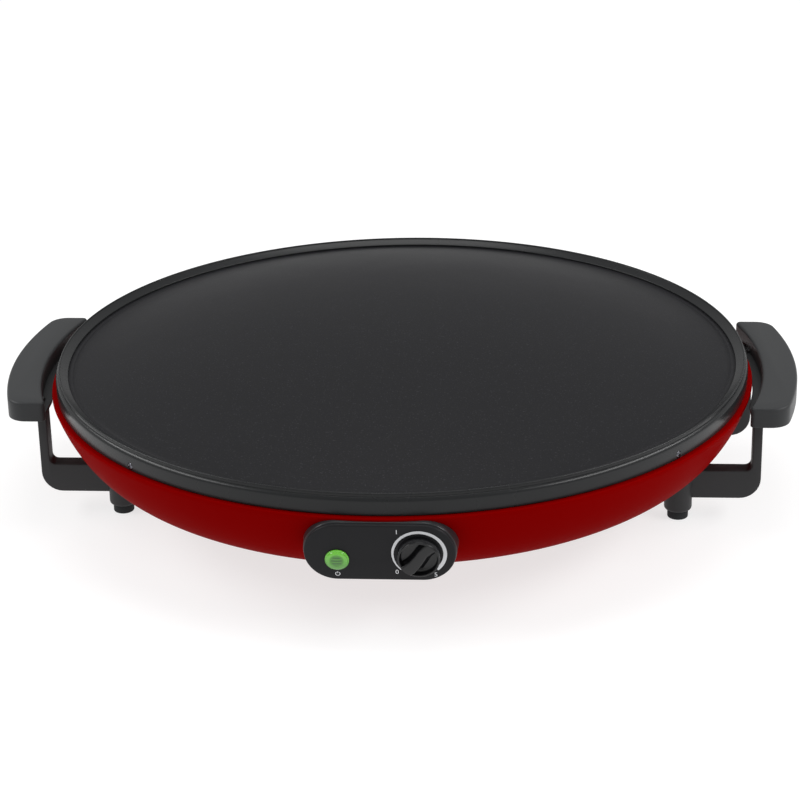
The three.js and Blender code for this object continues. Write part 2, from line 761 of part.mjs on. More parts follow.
function powerLamp() {
  const rise = lensDome - faceBevel;
  const lens = turned([
    [0, -lensStemLength], [lensStemRadius, -lensStemLength], [lensStemRadius, fitGap],
    [lensRadius, fitGap], [lensRadius, fitGap + faceBevel],
    ...lensDomeShares.map(([out, up]) => [lensRadius * out, fitGap + faceBevel + rise * up]),
  ], 16);
  addPiece(panel, 'power_lamp_lens', lens.translate(lampX, lampY, 0), lampGreen);
  const frontZ = -lensStemLength - fitGap;
  const body = turned([
    [0, frontZ - lampBodyLength], [lampBodyRadius, frontZ - lampBodyLength],
    [lampBodyRadius, frontZ - lampFlangeThick], [lampFlangeRadius, frontZ - lampFlangeThick],
    [lampFlangeRadius, frontZ], [0, frontZ],
  ]);
  addPiece(panel, 'power_lamp_body', body.translate(lampX, lampY, 0), ceramic);
}

// The S-shaped bar across the knob's dish, its middle line as shares of length and hook
const knobBarShares = [
  [-0.5, -1], [-0.4, -0.5], [-0.22, -0.1], [0, 0], [0.22, 0.1], [0.4, 0.5], [0.5, 1],
];

function thermostatKnob() {
  const middle = knobBarShares.map(([along, across]) => [2 * knobRadius * along, knobBarHook * across]);
  const right = offsetLine(middle, -knobBarWidth / 2);
  const left = offsetLine(middle, knobBarWidth / 2);
  const outline = new THREE.Shape([...right, ...left.reverse()].map(([x, y]) => new THREE.Vector2(x, y)));
  const rimTop = fitGap + knobRimHeight;
  const dishBottom = rimTop - knobDish;
  const cup = turned([
    [0, fitGap], [knobRadius, fitGap], [knobRadius, rimTop - faceBevel / 2],
    [knobRadius - faceBevel / 2, rimTop], [knobRadius - knobRimWall, rimTop],
    [knobRadius - knobRimWall, dishBottom], [0, dishBottom],
  ], 32);
  const core = rod(knobRadius - knobRimWall / 2, (fitGap + dishBottom) / 2, knobHeight, 32);
  const bar = solid(extruded(outline, 0, knobHeight)).intersect(solid(core));
  const socket = bored(spindleRadius + fitGap, 0, spindleTopZ + fitGap);
  const knob = solid(cup).add(bar).subtract(solid(socket));
  const shape = geometryOf(knob).rotateZ(THREE.MathUtils.degToRad(knobRestDegrees));
  addPiece(panel, 'thermostat_knob', shape.translate(knobX, 0, 0), blackPlastic);
  const spindle = rod(spindleRadius, thermostatFrontZ - spindleEngage, spindleTopZ);
  addPiece(panel, 'thermostat_spindle', spindle.translate(knobX, 0, 0), bareSteel);
}

function thermostatBracket() {
  const backZ = -bracketDepth - bracketThick;
  const halfWidth = bracketWidth / 2;
  const halfHeight = bracketHeight / 2;
  let bracket = solid(block(-halfWidth, halfWidth, -halfHeight, halfHeight, backZ, -bracketDepth));
  for (const edge of [-halfHeight, halfHeight - bracketThick]) {
    bracket = bracket.add(solid(block(-halfWidth, halfWidth, edge, edge + bracketThick, backZ, 0)));
  }
  bracket = bracket.intersect(seenFromPanel(bowlInside(fitGap)));
  for (const x of [-housingBossX, housingBossX]) {
    bracket = bracket.subtract(solid(bored(bore, backZ - overrun, overrun).translate(x, 0, 0)));
  }
  const neckHole = bored(thermostatNeckRadius + fitGap, backZ - overrun, 0);
  addPiece(panel, 'thermostat_bracket', bracket.subtract(solid(neckHole.translate(knobX, 0, 0))), bareSteel);
}

function thermostat() {
  const backZ = thermostatFrontZ - thermostatLength;
  let body = solid(turned([
    [0, backZ], [thermostatRadius, backZ], [thermostatRadius, thermostatFrontZ],
    [thermostatNeckRadius, thermostatFrontZ], [thermostatNeckRadius, thermostatFrontZ + neckLength],
    [0, thermostatFrontZ + neckLength],
  ], 20));
  for (const y of [-thermostatRadius / 2, thermostatRadius / 2]) {
    const half = thermostatTabWidth / 2;
    const tab = block(-half, half, y, y + thermostatTabThick, backZ - thermostatTabLength, backZ + overrun);
    body = body.add(solid(tab));
  }
  const socket = bored(spindleRadius + fitGap, thermostatFrontZ - spindleEngage - fitGap, 0);
  body = geometryOf(body.subtract(solid(socket)));
  addPiece(panel, 'thermostat_body', body.translate(knobX, 0, 0), ceramic);
  const nutBottom = -bracketDepth + fitGap;
  const nut = rod(thermostatNutRadius, nutBottom, nutBottom + thermostatNutThick, 6);
  const round = bored(thermostatNeckRadius + fitGap, -bracketDepth, 0);
  addPiece(panel, 'thermostat_nut', solid(nut).subtract(solid(round)), bareSteel)
    .position.set(knobX, 0, 0);
}

function housingScrews() {
  const shape = screw(housingScrewLength, screwHead, screwHeadHeight, screwShank).rotateX(Math.PI);
  [-housingBossX, housingBossX].forEach((x, i) => {
    const piece = addPiece(panel, `housing_screw_${i + 1}`, shape, bareSteel);
    piece.position.set(x, 0, thermostatFrontZ);
  });
}

// The heater's middle line: a two-turn spiral that follows the plate's underside
class HeaterLine extends THREE.Curve {
  getPoint(share, target = new THREE.Vector3()) {
    const angle = THREE.MathUtils.degToRad(heaterStartDegrees + heaterSweepDegrees * share);
    const radius = THREE.MathUtils.lerp(heaterOuterRadius, heaterInnerRadius, share);
    const height = plateUnderZ(radius) - heaterGap - heaterTube;
    return target.set(radius * Math.sin(angle), -radius * Math.cos(angle), height);
  }

  // Sections stand at equal turns, so that one stands in each support
  getPointAt(share, target) {
    return this.getPoint(share, target);
  }

  getTangentAt(share, target) {
    return this.getTangent(share, target);
  }
}

function circleShape(radius, sides) {
  const corners = Array.from({ length: sides }, (_, i) => {
    const angle = ((i + 0.5) / sides) * 2 * Math.PI;
    return new THREE.Vector2(radius * Math.cos(angle), radius * Math.sin(angle));
  });
  return new THREE.Shape(corners);
}

function heatingElement() {
  const line = new HeaterLine();
  let heater = solid(new THREE.ExtrudeGeometry(circleShape(heaterTube, 6), {
    steps: heaterSweepDegrees / heaterStepDegrees, bevelEnabled: false, extrudePath: line,
  }));
  for (const [share, way] of [[0, -1], [1, 1]]) {
    const along = line.getTangent(share).multiplyScalar(way);
    const pin = rod(heaterPinRadius, -heaterTube, heaterPinLength, 8);
    pin.applyQuaternion(new THREE.Quaternion().setFromUnitVectors(new THREE.Vector3(0, 0, 1), along));
    const end = line.getPoint(share);
    heater = heater.add(solid(pin.translate(end.x, end.y, end.z)));
  }
  addPiece(cooker, 'heating_element', heater, heaterSheath);
}

function elementSupports() {
  const line = new HeaterLine();
  const seatZ = reflectorZ + reflectorThick;
  supportDegrees.forEach((degrees, i) => {
    const places = [degrees, degrees + 360].map((at) => {
      const point = line.getPoint((at - heaterStartDegrees) / heaterSweepDegrees);
      return [Math.hypot(point.x, point.y), point.z];
    });
    const [[outer, outerZ], [inner, innerZ]] = places;
    const hold = heaterTube * supportHoldShare;
    const blade = new THREE.Shape([
      [inner - supportMargin, seatZ], [outer + supportMargin, seatZ],
      [outer + supportMargin, outerZ + hold], [outer - supportMargin, outerZ + hold],
      [inner + supportMargin, innerZ + hold], [inner - supportMargin, innerZ + hold],
    ].map(([x, y]) => new THREE.Vector2(x, y)));
    const upright = extruded(blade, 0, supportThick).rotateX(Math.PI / 2).translate(0, supportThick / 2, 0);
    const half = supportFootWidth / 2;
    const from = inner + supportFootInset;
    const foot = block(from, outer - supportFootInset, -half, half, seatZ, seatZ + supportThick);
    let support = solid(upright).add(solid(foot));
    for (const [radius, height] of places) {
      const saddle = bored(heaterTube + 2 * fitGap, -half, half).rotateX(Math.PI / 2);
      support = support.subtract(solid(saddle.translate(radius, 0, height)));
    }
    const shape = geometryOf(support).rotateZ(THREE.MathUtils.degToRad(degrees - 90));
    addPiece(cooker, `element_support_${i + 1}`, shape, bareSteel);
  });
}

function heatReflector() {
  const under = [
    [0, reflectorZ], [reflectorRadius, reflectorZ],
    [reflectorRadius + reflectorFlare, reflectorZ + reflectorRimHeight],
  ];
  const upper = offsetLine(under, reflectorThick);
  let sheet = solid(turned([...under, ...upper.reverse()], largeSides));
  const shape = screw(pillarScrewLength, screwHead, screwHeadHeight, screwShank);
  const turnedOver = shape.clone().rotateX(Math.PI);
  const pillarBottom = floorZ + sheetWall;
  pillarAngles.forEach((angle, i) => {
    const x = pillarPlace * Math.cos(angle);
    const y = pillarPlace * Math.sin(angle);
    sheet = sheet.subtract(solid(bored(bore, reflectorZ - overrun, reflectorZ + overrun).translate(x, y, 0)));
    const pillar = addPiece(cooker, `reflector_pillar_${i + 1}`, turned([
      [bore, pillarBottom], [pillarRadius, pillarBottom], [pillarRadius, reflectorZ],
      [bore, reflectorZ], [bore, pillarBottom],
    ]), bareSteel);
    pillar.position.set(x, y, 0);
    const below = addPiece(cooker, `pillar_screw_${i + 1}`, turnedOver, bareSteel);
    below.position.set(x, y, floorZ);
    const above = addPiece(cooker, `reflector_screw_${i + 1}`, shape, bareSteel);
    above.position.set(x, y, reflectorZ + reflectorThick);
  });
  addPiece(cooker, 'heat_reflector', sheet, bareSteel);
}

function cordGland() {
  const along = (geometry) => solid(geometry.rotateX(Math.PI / 2).translate(0, glandY, glandZ));
  const flange = along(rod(glandFlangeRadius, 0, glandStemLength, 20)).subtract(bowlSpace(fitGap));
  const gland = flange.add(along(rod(glandStemRadius, 0, glandStemLength)))
    .subtract(along(bored(glandBore, -overrun, glandStemLength + overrun)));
  addPiece(cooker, 'cord_gland', gland, blackPlastic);
  const nutEnd = glandStemLength - fitGap;
  const nut = along(rod(glandNutRadius, nutEnd - glandNutThick, nutEnd, 6))
    .subtract(along(bored(glandStemRadius + fitGap, 0, glandStemLength + overrun)))
    .intersect(bowlInside(fitGap));
  addPiece(cooker, 'gland_nut', nut, blackPlastic);
}

function terminalBlock() {
  const bottom = floorZ + sheetWall;
  const top = bottom + blockHeight;
  const halfWidth = blockWidth / 2;
  const halfDepth = blockDepth / 2;
  let body = solid(block(-halfWidth, halfWidth, -halfDepth, halfDepth, bottom, top));
  for (const share of [-1, 0, 1]) {
    const well = bored(blockWellRadius, top - blockWellDepth, top + overrun);
    body = body.subtract(solid(well.translate((share * blockWidth) / 3, 0, 0)));
  }
  addPiece(cooker, 'terminal_block', body, ceramic).position.set(blockX, blockY, 0);
}

function thermalFuse() {
  const centreZ = reflectorZ - fuseRadius - 2 * fitGap;
  const half = fuseLength / 2;
  const fuse = turned([
    [0, -half - fuseWireLength], [fuseWireRadius, -half - fuseWireLength], [fuseWireRadius, -half],
    [fuseRadius, -half], [fuseRadius, half], [fuseWireRadius, half],
    [fuseWireRadius, half + fuseWireLength], [0, half + fuseWireLength],
  ]).rotateY(Math.PI / 2);
  addPiece(cooker, 'thermal_fuse', fuse, fibre).position.set(fuseX, fuseY, centreZ);
  const clipRadius = fuseRadius + fitGap + clipThick;
  const across = (radius, length) => solid(rod(radius, -length / 2, length / 2).rotateY(Math.PI / 2));
  const footEnd = clipRadius + clipFoot;
  const topZ = reflectorZ - centreZ;
  const feetStrip = block(-clipWidth / 2, clipWidth / 2, -footEnd, footEnd, topZ - clipThick, topZ);
  const above = block(-clipWidth, clipWidth, -footEnd, footEnd, topZ, topZ + clipRadius);
  const clip = across(clipRadius, clipWidth).add(solid(feetStrip))
    .subtract(across(fuseRadius + fitGap, 2 * clipWidth)).subtract(solid(above));
  addPiece(cooker, 'fuse_clip', clip, bareSteel).position.set(fuseX, fuseY, centreZ);
}

cookingPlate();
plateGasket();
rimRing();
rimScrews();
baseShell();
arms();
grips();
gripScrews();
feet();
controlHousing();
controlFace();
powerLamp();
thermostatKnob();
thermostatBracket();
thermostat();
housingScrews();
cooker.add(panel);
heatingElement();
elementSupports();
heatReflector();
cordGland();
terminalBlock();
thermalFuse();

// The origin is the middle of the footprint, at the height of the table
const bounds = new THREE.Box3().setFromObject(cooker);
const middle = bounds.getCenter(new THREE.Vector3());
cooker.position.set(-middle.x, -middle.y, -bounds.min.z);

export default cooker;
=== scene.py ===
# %% [markdown]
# An electric roti maker: a domed griddle plate held by a black rim ring over a red
# steel bowl. Two curved side grips stand on L-shaped arms, which also carry the feet.
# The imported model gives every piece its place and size, and this script gives each
# piece its fine surface and its finish.

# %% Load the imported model
import json
from math import asin, atan2, cos, degrees, hypot, pi, radians, sin, sqrt

import bmesh
import bpy
from mathutils import Matrix, Vector
from mathutils.geometry import interpolate_bezier


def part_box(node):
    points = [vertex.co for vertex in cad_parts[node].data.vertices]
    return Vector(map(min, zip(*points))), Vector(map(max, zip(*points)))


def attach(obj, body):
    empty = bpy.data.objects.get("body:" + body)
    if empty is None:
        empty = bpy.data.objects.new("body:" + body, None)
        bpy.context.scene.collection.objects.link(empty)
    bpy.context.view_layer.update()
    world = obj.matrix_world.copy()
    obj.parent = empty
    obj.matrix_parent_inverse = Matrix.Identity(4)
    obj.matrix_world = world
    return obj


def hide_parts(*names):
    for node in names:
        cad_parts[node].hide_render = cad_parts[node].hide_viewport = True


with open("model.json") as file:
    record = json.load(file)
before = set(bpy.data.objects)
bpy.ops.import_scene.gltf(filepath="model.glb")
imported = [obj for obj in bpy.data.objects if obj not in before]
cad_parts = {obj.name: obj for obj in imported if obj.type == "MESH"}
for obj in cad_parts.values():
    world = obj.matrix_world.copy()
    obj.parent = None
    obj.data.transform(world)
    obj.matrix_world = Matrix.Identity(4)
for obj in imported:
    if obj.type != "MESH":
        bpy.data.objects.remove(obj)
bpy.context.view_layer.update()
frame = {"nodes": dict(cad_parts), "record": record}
nodes = frame["nodes"]
scene = bpy.context.scene
mm = 0.001
ring_low, ring_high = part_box("rim_ring")
ring_radius = (ring_high.x - ring_low.x) / 2
axis_place = (ring_low + ring_high) / 2
axis_place.z = 0
to_axis = Matrix.Translation(axis_place)
print("pieces in the frame:", len(nodes), "plate axis at", tuple(round(c, 4) for c in axis_place))

# %% [markdown]
# The camera stands where the photograph was taken from: about 1.6 m away, 23 degrees
# above the table and a little to the right. A long lens keeps the ellipses flat. Its
# place is counted from the plate's axis, so it follows the model.

# %% Camera
camera_offset = Vector((107.2, -1473.5, 680.9)) * mm
aim_offset = Vector((-1.6, -0.1, 57.8)) * mm
camera_roll = radians(-1.18)
camera_data = bpy.data.cameras.new("camera")
camera_data.lens = 108
camera_data.sensor_width = 36
camera = bpy.data.objects.new("camera", camera_data)
scene.collection.objects.link(camera)
camera.location = axis_place + camera_offset
look = (aim_offset - camera_offset).to_track_quat("-Z", "Y").to_matrix()
camera.rotation_euler = (look @ Matrix.Rotation(camera_roll, 3, "Z")).to_euler()
scene.camera = camera
print("camera to plate axis:", round(camera_offset.length, 3), "m")

# %% [markdown]
# A studio shot of a dark appliance needs large soft lights: a wide one overhead for the
# plate, and one on each side whose reflections draw the edges. The floor is plain and
# pale, with a glow of its own that keeps it near white and its shadow faint. The world
# fills the dark sides.

# %% Floor, world and lights
scene.view_settings.view_transform = "Standard"
floor_size = 12.0


def set_values(node, values):
    """Sets the inputs of a shader node by name or number."""
    for label, value in values.items():
        node.inputs[label].default_value = value


floor_mesh = bpy.data.meshes.new("floor")
floor_form = bmesh.new()
bmesh.ops.create_grid(floor_form, x_segments=1, y_segments=1, size=floor_size / 2)
floor_form.to_mesh(floor_mesh)
floor_form.free()
floor = bpy.data.objects.new("floor", floor_mesh)
scene.collection.objects.link(floor)
floor_finish = bpy.data.materials.new("pale_floor")
floor_finish.use_nodes = True
floor_values = {"Base Color": (0.32, 0.32, 0.32, 1), "Roughness": 0.9, "Specular IOR Level": 0.1,
                "Emission Color": (1, 1, 1, 1), "Emission Strength": 0.72}
set_values(floor_finish.node_tree.nodes["Principled BSDF"], floor_values)
floor_mesh.materials.append(floor_finish)

world = bpy.data.worlds.new("studio")
world.use_nodes = True
set_values(world.node_tree.nodes["Background"], {"Color": (1, 1, 1, 1), "Strength": 0.45})
scene.world = world


def add_light(name, place, power, width, height):
    """A soft panel of light that faces the cooker."""
    data = bpy.data.lights.new(name, "AREA")
    data.shape = "RECTANGLE"
    data.size = width
    data.size_y = height
    data.energy = power
    light = bpy.data.objects.new(name, data)
    scene.collection.objects.link(light)
    light.location = place
    light.rotation_euler = (-Vector(place)).to_track_quat("-Z", "Y").to_euler()


add_light("overhead", (0.0, 0.2, 1.9), 10, 1.2, 0.8)
add_light("left_side", (-1.5, -0.1, 1.2), 20, 1.8, 0.45)
add_light("right_side", (1.5, -0.2, 1.2), 24, 1.8, 0.45)
print("lights:", len(bpy.data.lights))

# %% [markdown]
# Moulded plastic, paint and coated metal all have a fine surface texture, every handled
# thing has faint smudges, and a sprayed non-stick coating has tiny flecks. Each of these
# is a shader node group, built once and used with its own values in each material. Noise
# on Object coordinates keeps the grain at its real size on every piece.

# %% Helper for shader nodes
def add_node(tree, kind, values=None, **settings):
    """A shader node with its settings and the values of its inputs."""
    node = tree.nodes.new("ShaderNode" + kind)
    for label, setting in settings.items():
        setattr(node, label, setting)
    set_values(node, values or {})
    return node


# %% Shader groups
def new_group(name, inputs, outputs):
    """A node group with named float inputs and typed outputs."""
    group = bpy.data.node_groups.new(name, "ShaderNodeTree")
    for label, value in inputs:
        socket = group.interface.new_socket(label, in_out="INPUT", socket_type="NodeSocketFloat")
        socket.default_value = value
    for label, kind in outputs:
        group.interface.new_socket(label, in_out="OUTPUT", socket_type=kind)
    start = group.nodes.new("NodeGroupInput")
    end = group.nodes.new("NodeGroupOutput")
    return group, start, end


def noise_at(group, start, size_label, detail=2.0):
    """A noise texture whose grain is a size in millimetres, on Object coordinates."""
    place = add_node(group, "TexCoord")
    grains_per_metre = add_node(group, "Math", {0: 1 / mm}, operation="DIVIDE")
    noise = add_node(group, "TexNoise", {"Detail": detail})
    group.links.new(start.outputs[size_label], grains_per_metre.inputs[1])
    group.links.new(place.outputs["Object"], noise.inputs["Vector"])
    group.links.new(grains_per_metre.outputs[0], noise.inputs["Scale"])
    return noise


def make_grain_group():
    """Fine surface texture: a height for bump."""
    group, start, end = new_group("fine_grain", [("Size", 0.6)], [("Height", "NodeSocketFloat")])
    noise = noise_at(group, start, "Size")
    group.links.new(noise.outputs["Fac"], end.inputs["Height"])
    return group


def make_smudge_group():
    """Slow changes of gloss and tone: a roughness and a tone factor."""
    inputs = [("Size", 60.0), ("Roughness", 0.4), ("Spread", 0.08), ("Tone", 0.06)]
    outputs = [("Roughness", "NodeSocketFloat"), ("Tone", "NodeSocketFloat")]
    group, start, end = new_group("smudges", inputs, outputs)
    noise = noise_at(group, start, "Size", detail=4.0)
    centred = add_node(group, "Math", {1: 0.5}, operation="SUBTRACT")
    group.links.new(noise.outputs["Fac"], centred.inputs[0])
    for label, spread in (("Roughness", "Spread"), ("Tone", "Tone")):
        change = add_node(group, "Math", operation="MULTIPLY_ADD")
        group.links.new(centred.outputs[0], change.inputs[0])
        group.links.new(start.outputs[spread], change.inputs[1])
        if label == "Roughness":
            group.links.new(start.outputs["Roughness"], change.inputs[2])
        else:
            change.inputs[2].default_value = 1.0
        group.links.new(change.outputs[0], end.inputs[label])
    return group


def make_speck_group():
    """Tiny pale flecks, as in a sprayed non-stick coating: a mask from 0 to 1."""
    group, start, end = new_group("coating_specks", [("Size", 0.9), ("Amount", 0.3)],
                                  [("Mask", "NodeSocketFloat")])
    noise = noise_at(group, start, "Size", detail=0.0)
    step = add_node(group, "MapRange", {"From Min": 0.7, "From Max": 0.78}, interpolation_type="SMOOTHSTEP")
    group.links.new(noise.outputs["Fac"], step.inputs["Value"])
    group.links.new(start.outputs["Amount"], step.inputs["To Max"])
    group.links.new(step.outputs["Result"], end.inputs["Mask"])
    return group


grain_group = make_grain_group()
smudge_group = make_smudge_group()
speck_group = make_speck_group()
print("shader groups:", [group.name for group in bpy.data.node_groups])

# %% [markdown]
# One function builds every opaque finish from the same recipe: a base colour that the
# smudges darken or lighten a little, a roughness that wanders, and a fine bump. What
# differs is named at each finish below.

# %% A recipe for the finishes
smudge_size = 45.0
bump_depth = 0.1


def srgb(red, green, blue):
    """A colour as an eye or a colour picker gives it, from 0 to 255, made linear."""
    def linear(value):
        share = value / 255
        return share / 12.92 if share <= 0.04045 else ((share + 0.055) / 1.055) ** 2.4
    return (linear(red), linear(green), linear(blue), 1)


def make_finish(name, color, roughness, metallic=0.0, grain=0.6, bump=0.05, spread=0.06,
                tone=0.08, specular=0.3, specks=0.0, speck_color=None):
    """A procedural finish: sizes in millimetres, colour linear."""
    finish = bpy.data.materials.new(name)
    finish.use_nodes = True
    tree = finish.node_tree
    shader = tree.nodes["Principled BSDF"]
    set_values(shader, {"Metallic": metallic, "Specular IOR Level": specular})
    smudge_values = {"Size": smudge_size, "Roughness": roughness, "Spread": spread, "Tone": tone}
    smudges = add_node(tree, "Group", smudge_values, node_tree=smudge_group)
    tree.links.new(smudges.outputs["Roughness"], shader.inputs["Roughness"])
    toned = add_node(tree, "VectorMath", {0: color[:3]}, operation="SCALE")
    tree.links.new(smudges.outputs["Tone"], toned.inputs["Scale"])
    base = toned.outputs[0]
    if specks:
        flecks = add_node(tree, "Group", {"Amount": specks}, node_tree=speck_group)
        mixed = add_node(tree, "Mix", {"B": speck_color}, data_type="RGBA")
        tree.links.new(flecks.outputs["Mask"], mixed.inputs["Factor"])
        tree.links.new(base, mixed.inputs["A"])
        base = mixed.outputs["Result"]
    tree.links.new(base, shader.inputs["Base Color"])
    texture = add_node(tree, "Group", {"Size": grain}, node_tree=grain_group)
    relief = add_node(tree, "Bump", {"Strength": bump, "Distance": bump_depth * mm})
    tree.links.new(texture.outputs["Height"], relief.inputs["Height"])
    tree.links.new(relief.outputs["Normal"], shader.inputs["Normal"])
    return finish


# %% [markdown]
# The bowl's paint is a deep satin red with hardly any gloss of its own. The ring and
# plate, the plastics and the feet are blacks and dark greys that differ in gloss and
# grain, and the dial's print is a pale grey.

# %% Finishes of the visible pieces
bowl_paint = make_finish("bowl_paint", srgb(119, 0, 0), 0.5, grain=1.4, bump=0.2, tone=0.04,
                         specular=0.003)
ring_coating = make_finish("ring_coating", srgb(31, 32, 33), 0.27, grain=0.5, bump=0.25, specular=0.24)
plate_coating = make_finish("plate_coating", srgb(30, 30, 32), 0.5, grain=0.8, bump=0.5, specular=0.1,
                            specks=0.25, speck_color=srgb(76, 76, 80))
grip_plastic = make_finish("grip_plastic", srgb(50, 51, 52), 0.42, grain=0.5, bump=0.5, specular=0.16)
arm_plastic = make_finish("arm_plastic", srgb(48, 48, 49), 0.5, grain=0.5, bump=0.5, specular=0.2)
housing_plastic = make_finish("housing_plastic", srgb(34, 35, 37), 0.3, grain=0.5, bump=0.4, specular=0.4)
face_plastic = make_finish("face_plastic", srgb(30, 30, 32), 0.42, grain=0.35, bump=0.3, tone=0.04,
                           specular=0.12)
knob_plastic = make_finish("knob_plastic", srgb(14, 14, 16), 0.3, grain=0.4, bump=0.15, specular=0.4)
pad_rubber = make_finish("pad_rubber", srgb(40, 42, 43), 0.7, grain=0.8, bump=0.8, specular=0.15)
dial_print = make_finish("dial_print", srgb(218, 219, 222), 0.5, grain=0.3, bump=0.1, tone=0.03)

# %% [markdown]
# The metal and ceramic finishes below are for what sits inside or underneath: plated
# screws, bright sheet, a heat-tinted heater sheath, white steatite and glass fibre.

# %% Finishes of the inner pieces
dark_zinc = make_finish("dark_zinc", srgb(104, 104, 110), 0.2, metallic=1.0, grain=0.4, bump=0.2,
                        spread=0.1)
zinc_plate = make_finish("zinc_plate", srgb(172, 175, 180), 0.3, metallic=1.0, grain=0.4, bump=0.2,
                         spread=0.15)
bright_sheet = make_finish("bright_sheet", srgb(196, 198, 200), 0.28, metallic=1.0, grain=2.0, bump=0.15,
                           spread=0.12)
heater_sheath = make_finish("heater_sheath", srgb(96, 88, 82), 0.5, metallic=0.8, grain=0.6, bump=0.3,
                            tone=0.35)
steatite = make_finish("steatite", srgb(226, 221, 210), 0.6, grain=0.5, bump=0.3)
glass_fibre = make_finish("glass_fibre", srgb(200, 195, 182), 0.9, grain=0.7, bump=1.0, tone=0.15)
print("finishes:", len(bpy.data.materials))

# %% [markdown]
# Most pieces here are either turned about an axis or cut from an outline. Two helpers
# cover both: one spins a profile into a round solid, the other pushes an outline into a
# slab. Corners are rounded first, while the profile is still a flat wire, because a
# vertex bevel on a wire is quick and gives clean, even arcs.

# %% Helpers for turned and extruded forms
ring_steps = 240
merge_gap = 0.002 * mm


def wire(points, rounds=None, closed=True, segments=4):
    """A wire in the XZ plane, in millimetres; rounds gives the radius at a corner's number."""
    form = bmesh.new()
    corners = [form.verts.new((x * mm, 0, z * mm)) for x, z in points]
    for start, end in zip(corners, corners[1:] + corners[:1] if closed else corners[1:]):
        form.edges.new((start, end))
    for number, radius in (rounds or {}).items():
        bmesh.ops.bevel(form, geom=[corners[number]], offset=radius * mm, offset_type="OFFSET",
                        segments=segments, profile=0.5, affect="VERTICES", material=-1)
    bmesh.ops.remove_doubles(form, verts=form.verts, dist=merge_gap)
    return form


def spun(points, rounds=None, closed=True, steps=ring_steps, segments=4):
    """A profile of radius and height turned all the way round the Z axis."""
    form = wire(points, rounds, closed, segments)
    bmesh.ops.spin(form, geom=form.verts[:] + form.edges[:], angle=2 * pi, steps=steps,
                   axis=(0, 0, 1), cent=(0, 0, 0), use_merge=True)
    bmesh.ops.remove_doubles(form, verts=form.verts, dist=merge_gap)
    on_axis = [edge for edge in form.edges if not edge.link_faces]
    bmesh.ops.delete(form, geom=on_axis, context="EDGES")
    bmesh.ops.recalc_face_normals(form, faces=form.faces)
    return form


def slab(points, thickness, rounds=None, segments=4):
    """An outline in the XZ plane pushed along Y, from Y = 0."""
    form = wire(points, rounds, True, segments)
    face = bmesh.ops.contextual_create(form, geom=form.edges[:])["faces"]
    pushed = bmesh.ops.extrude_face_region(form, geom=face)["geom"]
    bmesh.ops.translate(form, vec=(0, thickness * mm, 0),
                        verts=[v for v in pushed if isinstance(v, bmesh.types.BMVert)])
    bmesh.ops.recalc_face_normals(form, faces=form.faces)
    if form.calc_volume(signed=True) < 0:
        bmesh.ops.reverse_faces(form, faces=form.faces)
    return form


def tile(points, top, bottom):
    """An outline drawn from above, in X and Y, between two heights."""
    form = slab(points, top - bottom)
    form.transform(Matrix.Translation((0, 0, top * mm)) @ Matrix.Rotation(radians(-90), 4, "X"))
    return form


def box_outline(start_x, end_x, start_y, end_y):
    """Four corners of a rectangle."""
    return [(start_x, start_y), (end_x, start_y), (end_x, end_y), (start_x, end_y)]


def round_end(form, direction, radius, steps=4):
    """Rounds the rim of the flat face that lies furthest in a direction, by even small insets."""
    way = Vector(direction)
    end = max(form.faces, key=lambda face: face.calc_center_median().dot(way))
    bmesh.ops.translate(form, vec=way * -radius * mm, verts=end.verts)
    for i in range(1, steps + 1):
        before, after = (radians(90 * n / steps) for n in (i - 1, i))
        bmesh.ops.inset_region(form, faces=[end], thickness=radius * (cos(before) - cos(after)) * mm,
                               depth=0, use_even_offset=True, use_boundary=True)
        bmesh.ops.translate(form, vec=way * radius * (sin(after) - sin(before)) * mm, verts=end.verts)
    return form


def placed(form, matrix):
    """A copy of a form at another place, turned the right way out again if it was mirrored."""
    copy = form.copy()
    copy.transform(matrix)
    if matrix.determinant() < 0:
        bmesh.ops.reverse_faces(copy, faces=copy.faces)
    return copy


def gathered(forms):
    """Several closed forms as one, so that one boolean can use them all."""
    whole = bmesh.new()
    for form in forms:
        part = bpy.data.meshes.new("part")
        form.to_mesh(part)
        form.free()
        whole.from_mesh(part)
        bpy.data.meshes.remove(part)
    return whole


# %% [markdown]
# A boolean works on objects, so this helper makes two for a moment, lets the modifier
# do its work and reads the result back as a form.

# %% Helper for booleans
def combined(form, other, operation="DIFFERENCE"):
    """Joins or cuts a closed form with another one."""
    pair = []
    for label, shape in (("body", form), ("tool", other)):
        mesh = bpy.data.meshes.new(label)
        shape.to_mesh(mesh)
        shape.free()
        piece = bpy.data.objects.new(label, mesh)
        scene.collection.objects.link(piece)
        pair.append(piece)
    change = pair[0].modifiers.new("change", "BOOLEAN")
    change.operation = operation
    change.solver = "EXACT"
    change.object = pair[1]
    result = bmesh.new()
    result.from_object(pair[0], bpy.context.evaluated_depsgraph_get())
    for piece in pair:
        mesh = piece.data
        bpy.data.objects.remove(piece)
        bpy.data.meshes.remove(mesh)
    bmesh.ops.remove_doubles(result, verts=result.verts, dist=merge_gap)
    return result


# %% [markdown]
# Every form becomes a piece in the same way: its faces are turned outwards and shaded
# smooth, only true corners stay sharp, and it takes the place of the plain solid.

# %% Helpers that turn a form into a piece
crease = radians(32)


def add_object(name, form, place, finish, body="cooker"):
    """Moves a form to its place and makes it an object that rides on a body."""
    form.transform(place)
    mesh = bpy.data.meshes.new(name)
    form.to_mesh(mesh)
    form.free()
    mesh.materials.append(finish)
    piece = bpy.data.objects.new(name, mesh)
    scene.collection.objects.link(piece)
    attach(piece, body)
    return piece


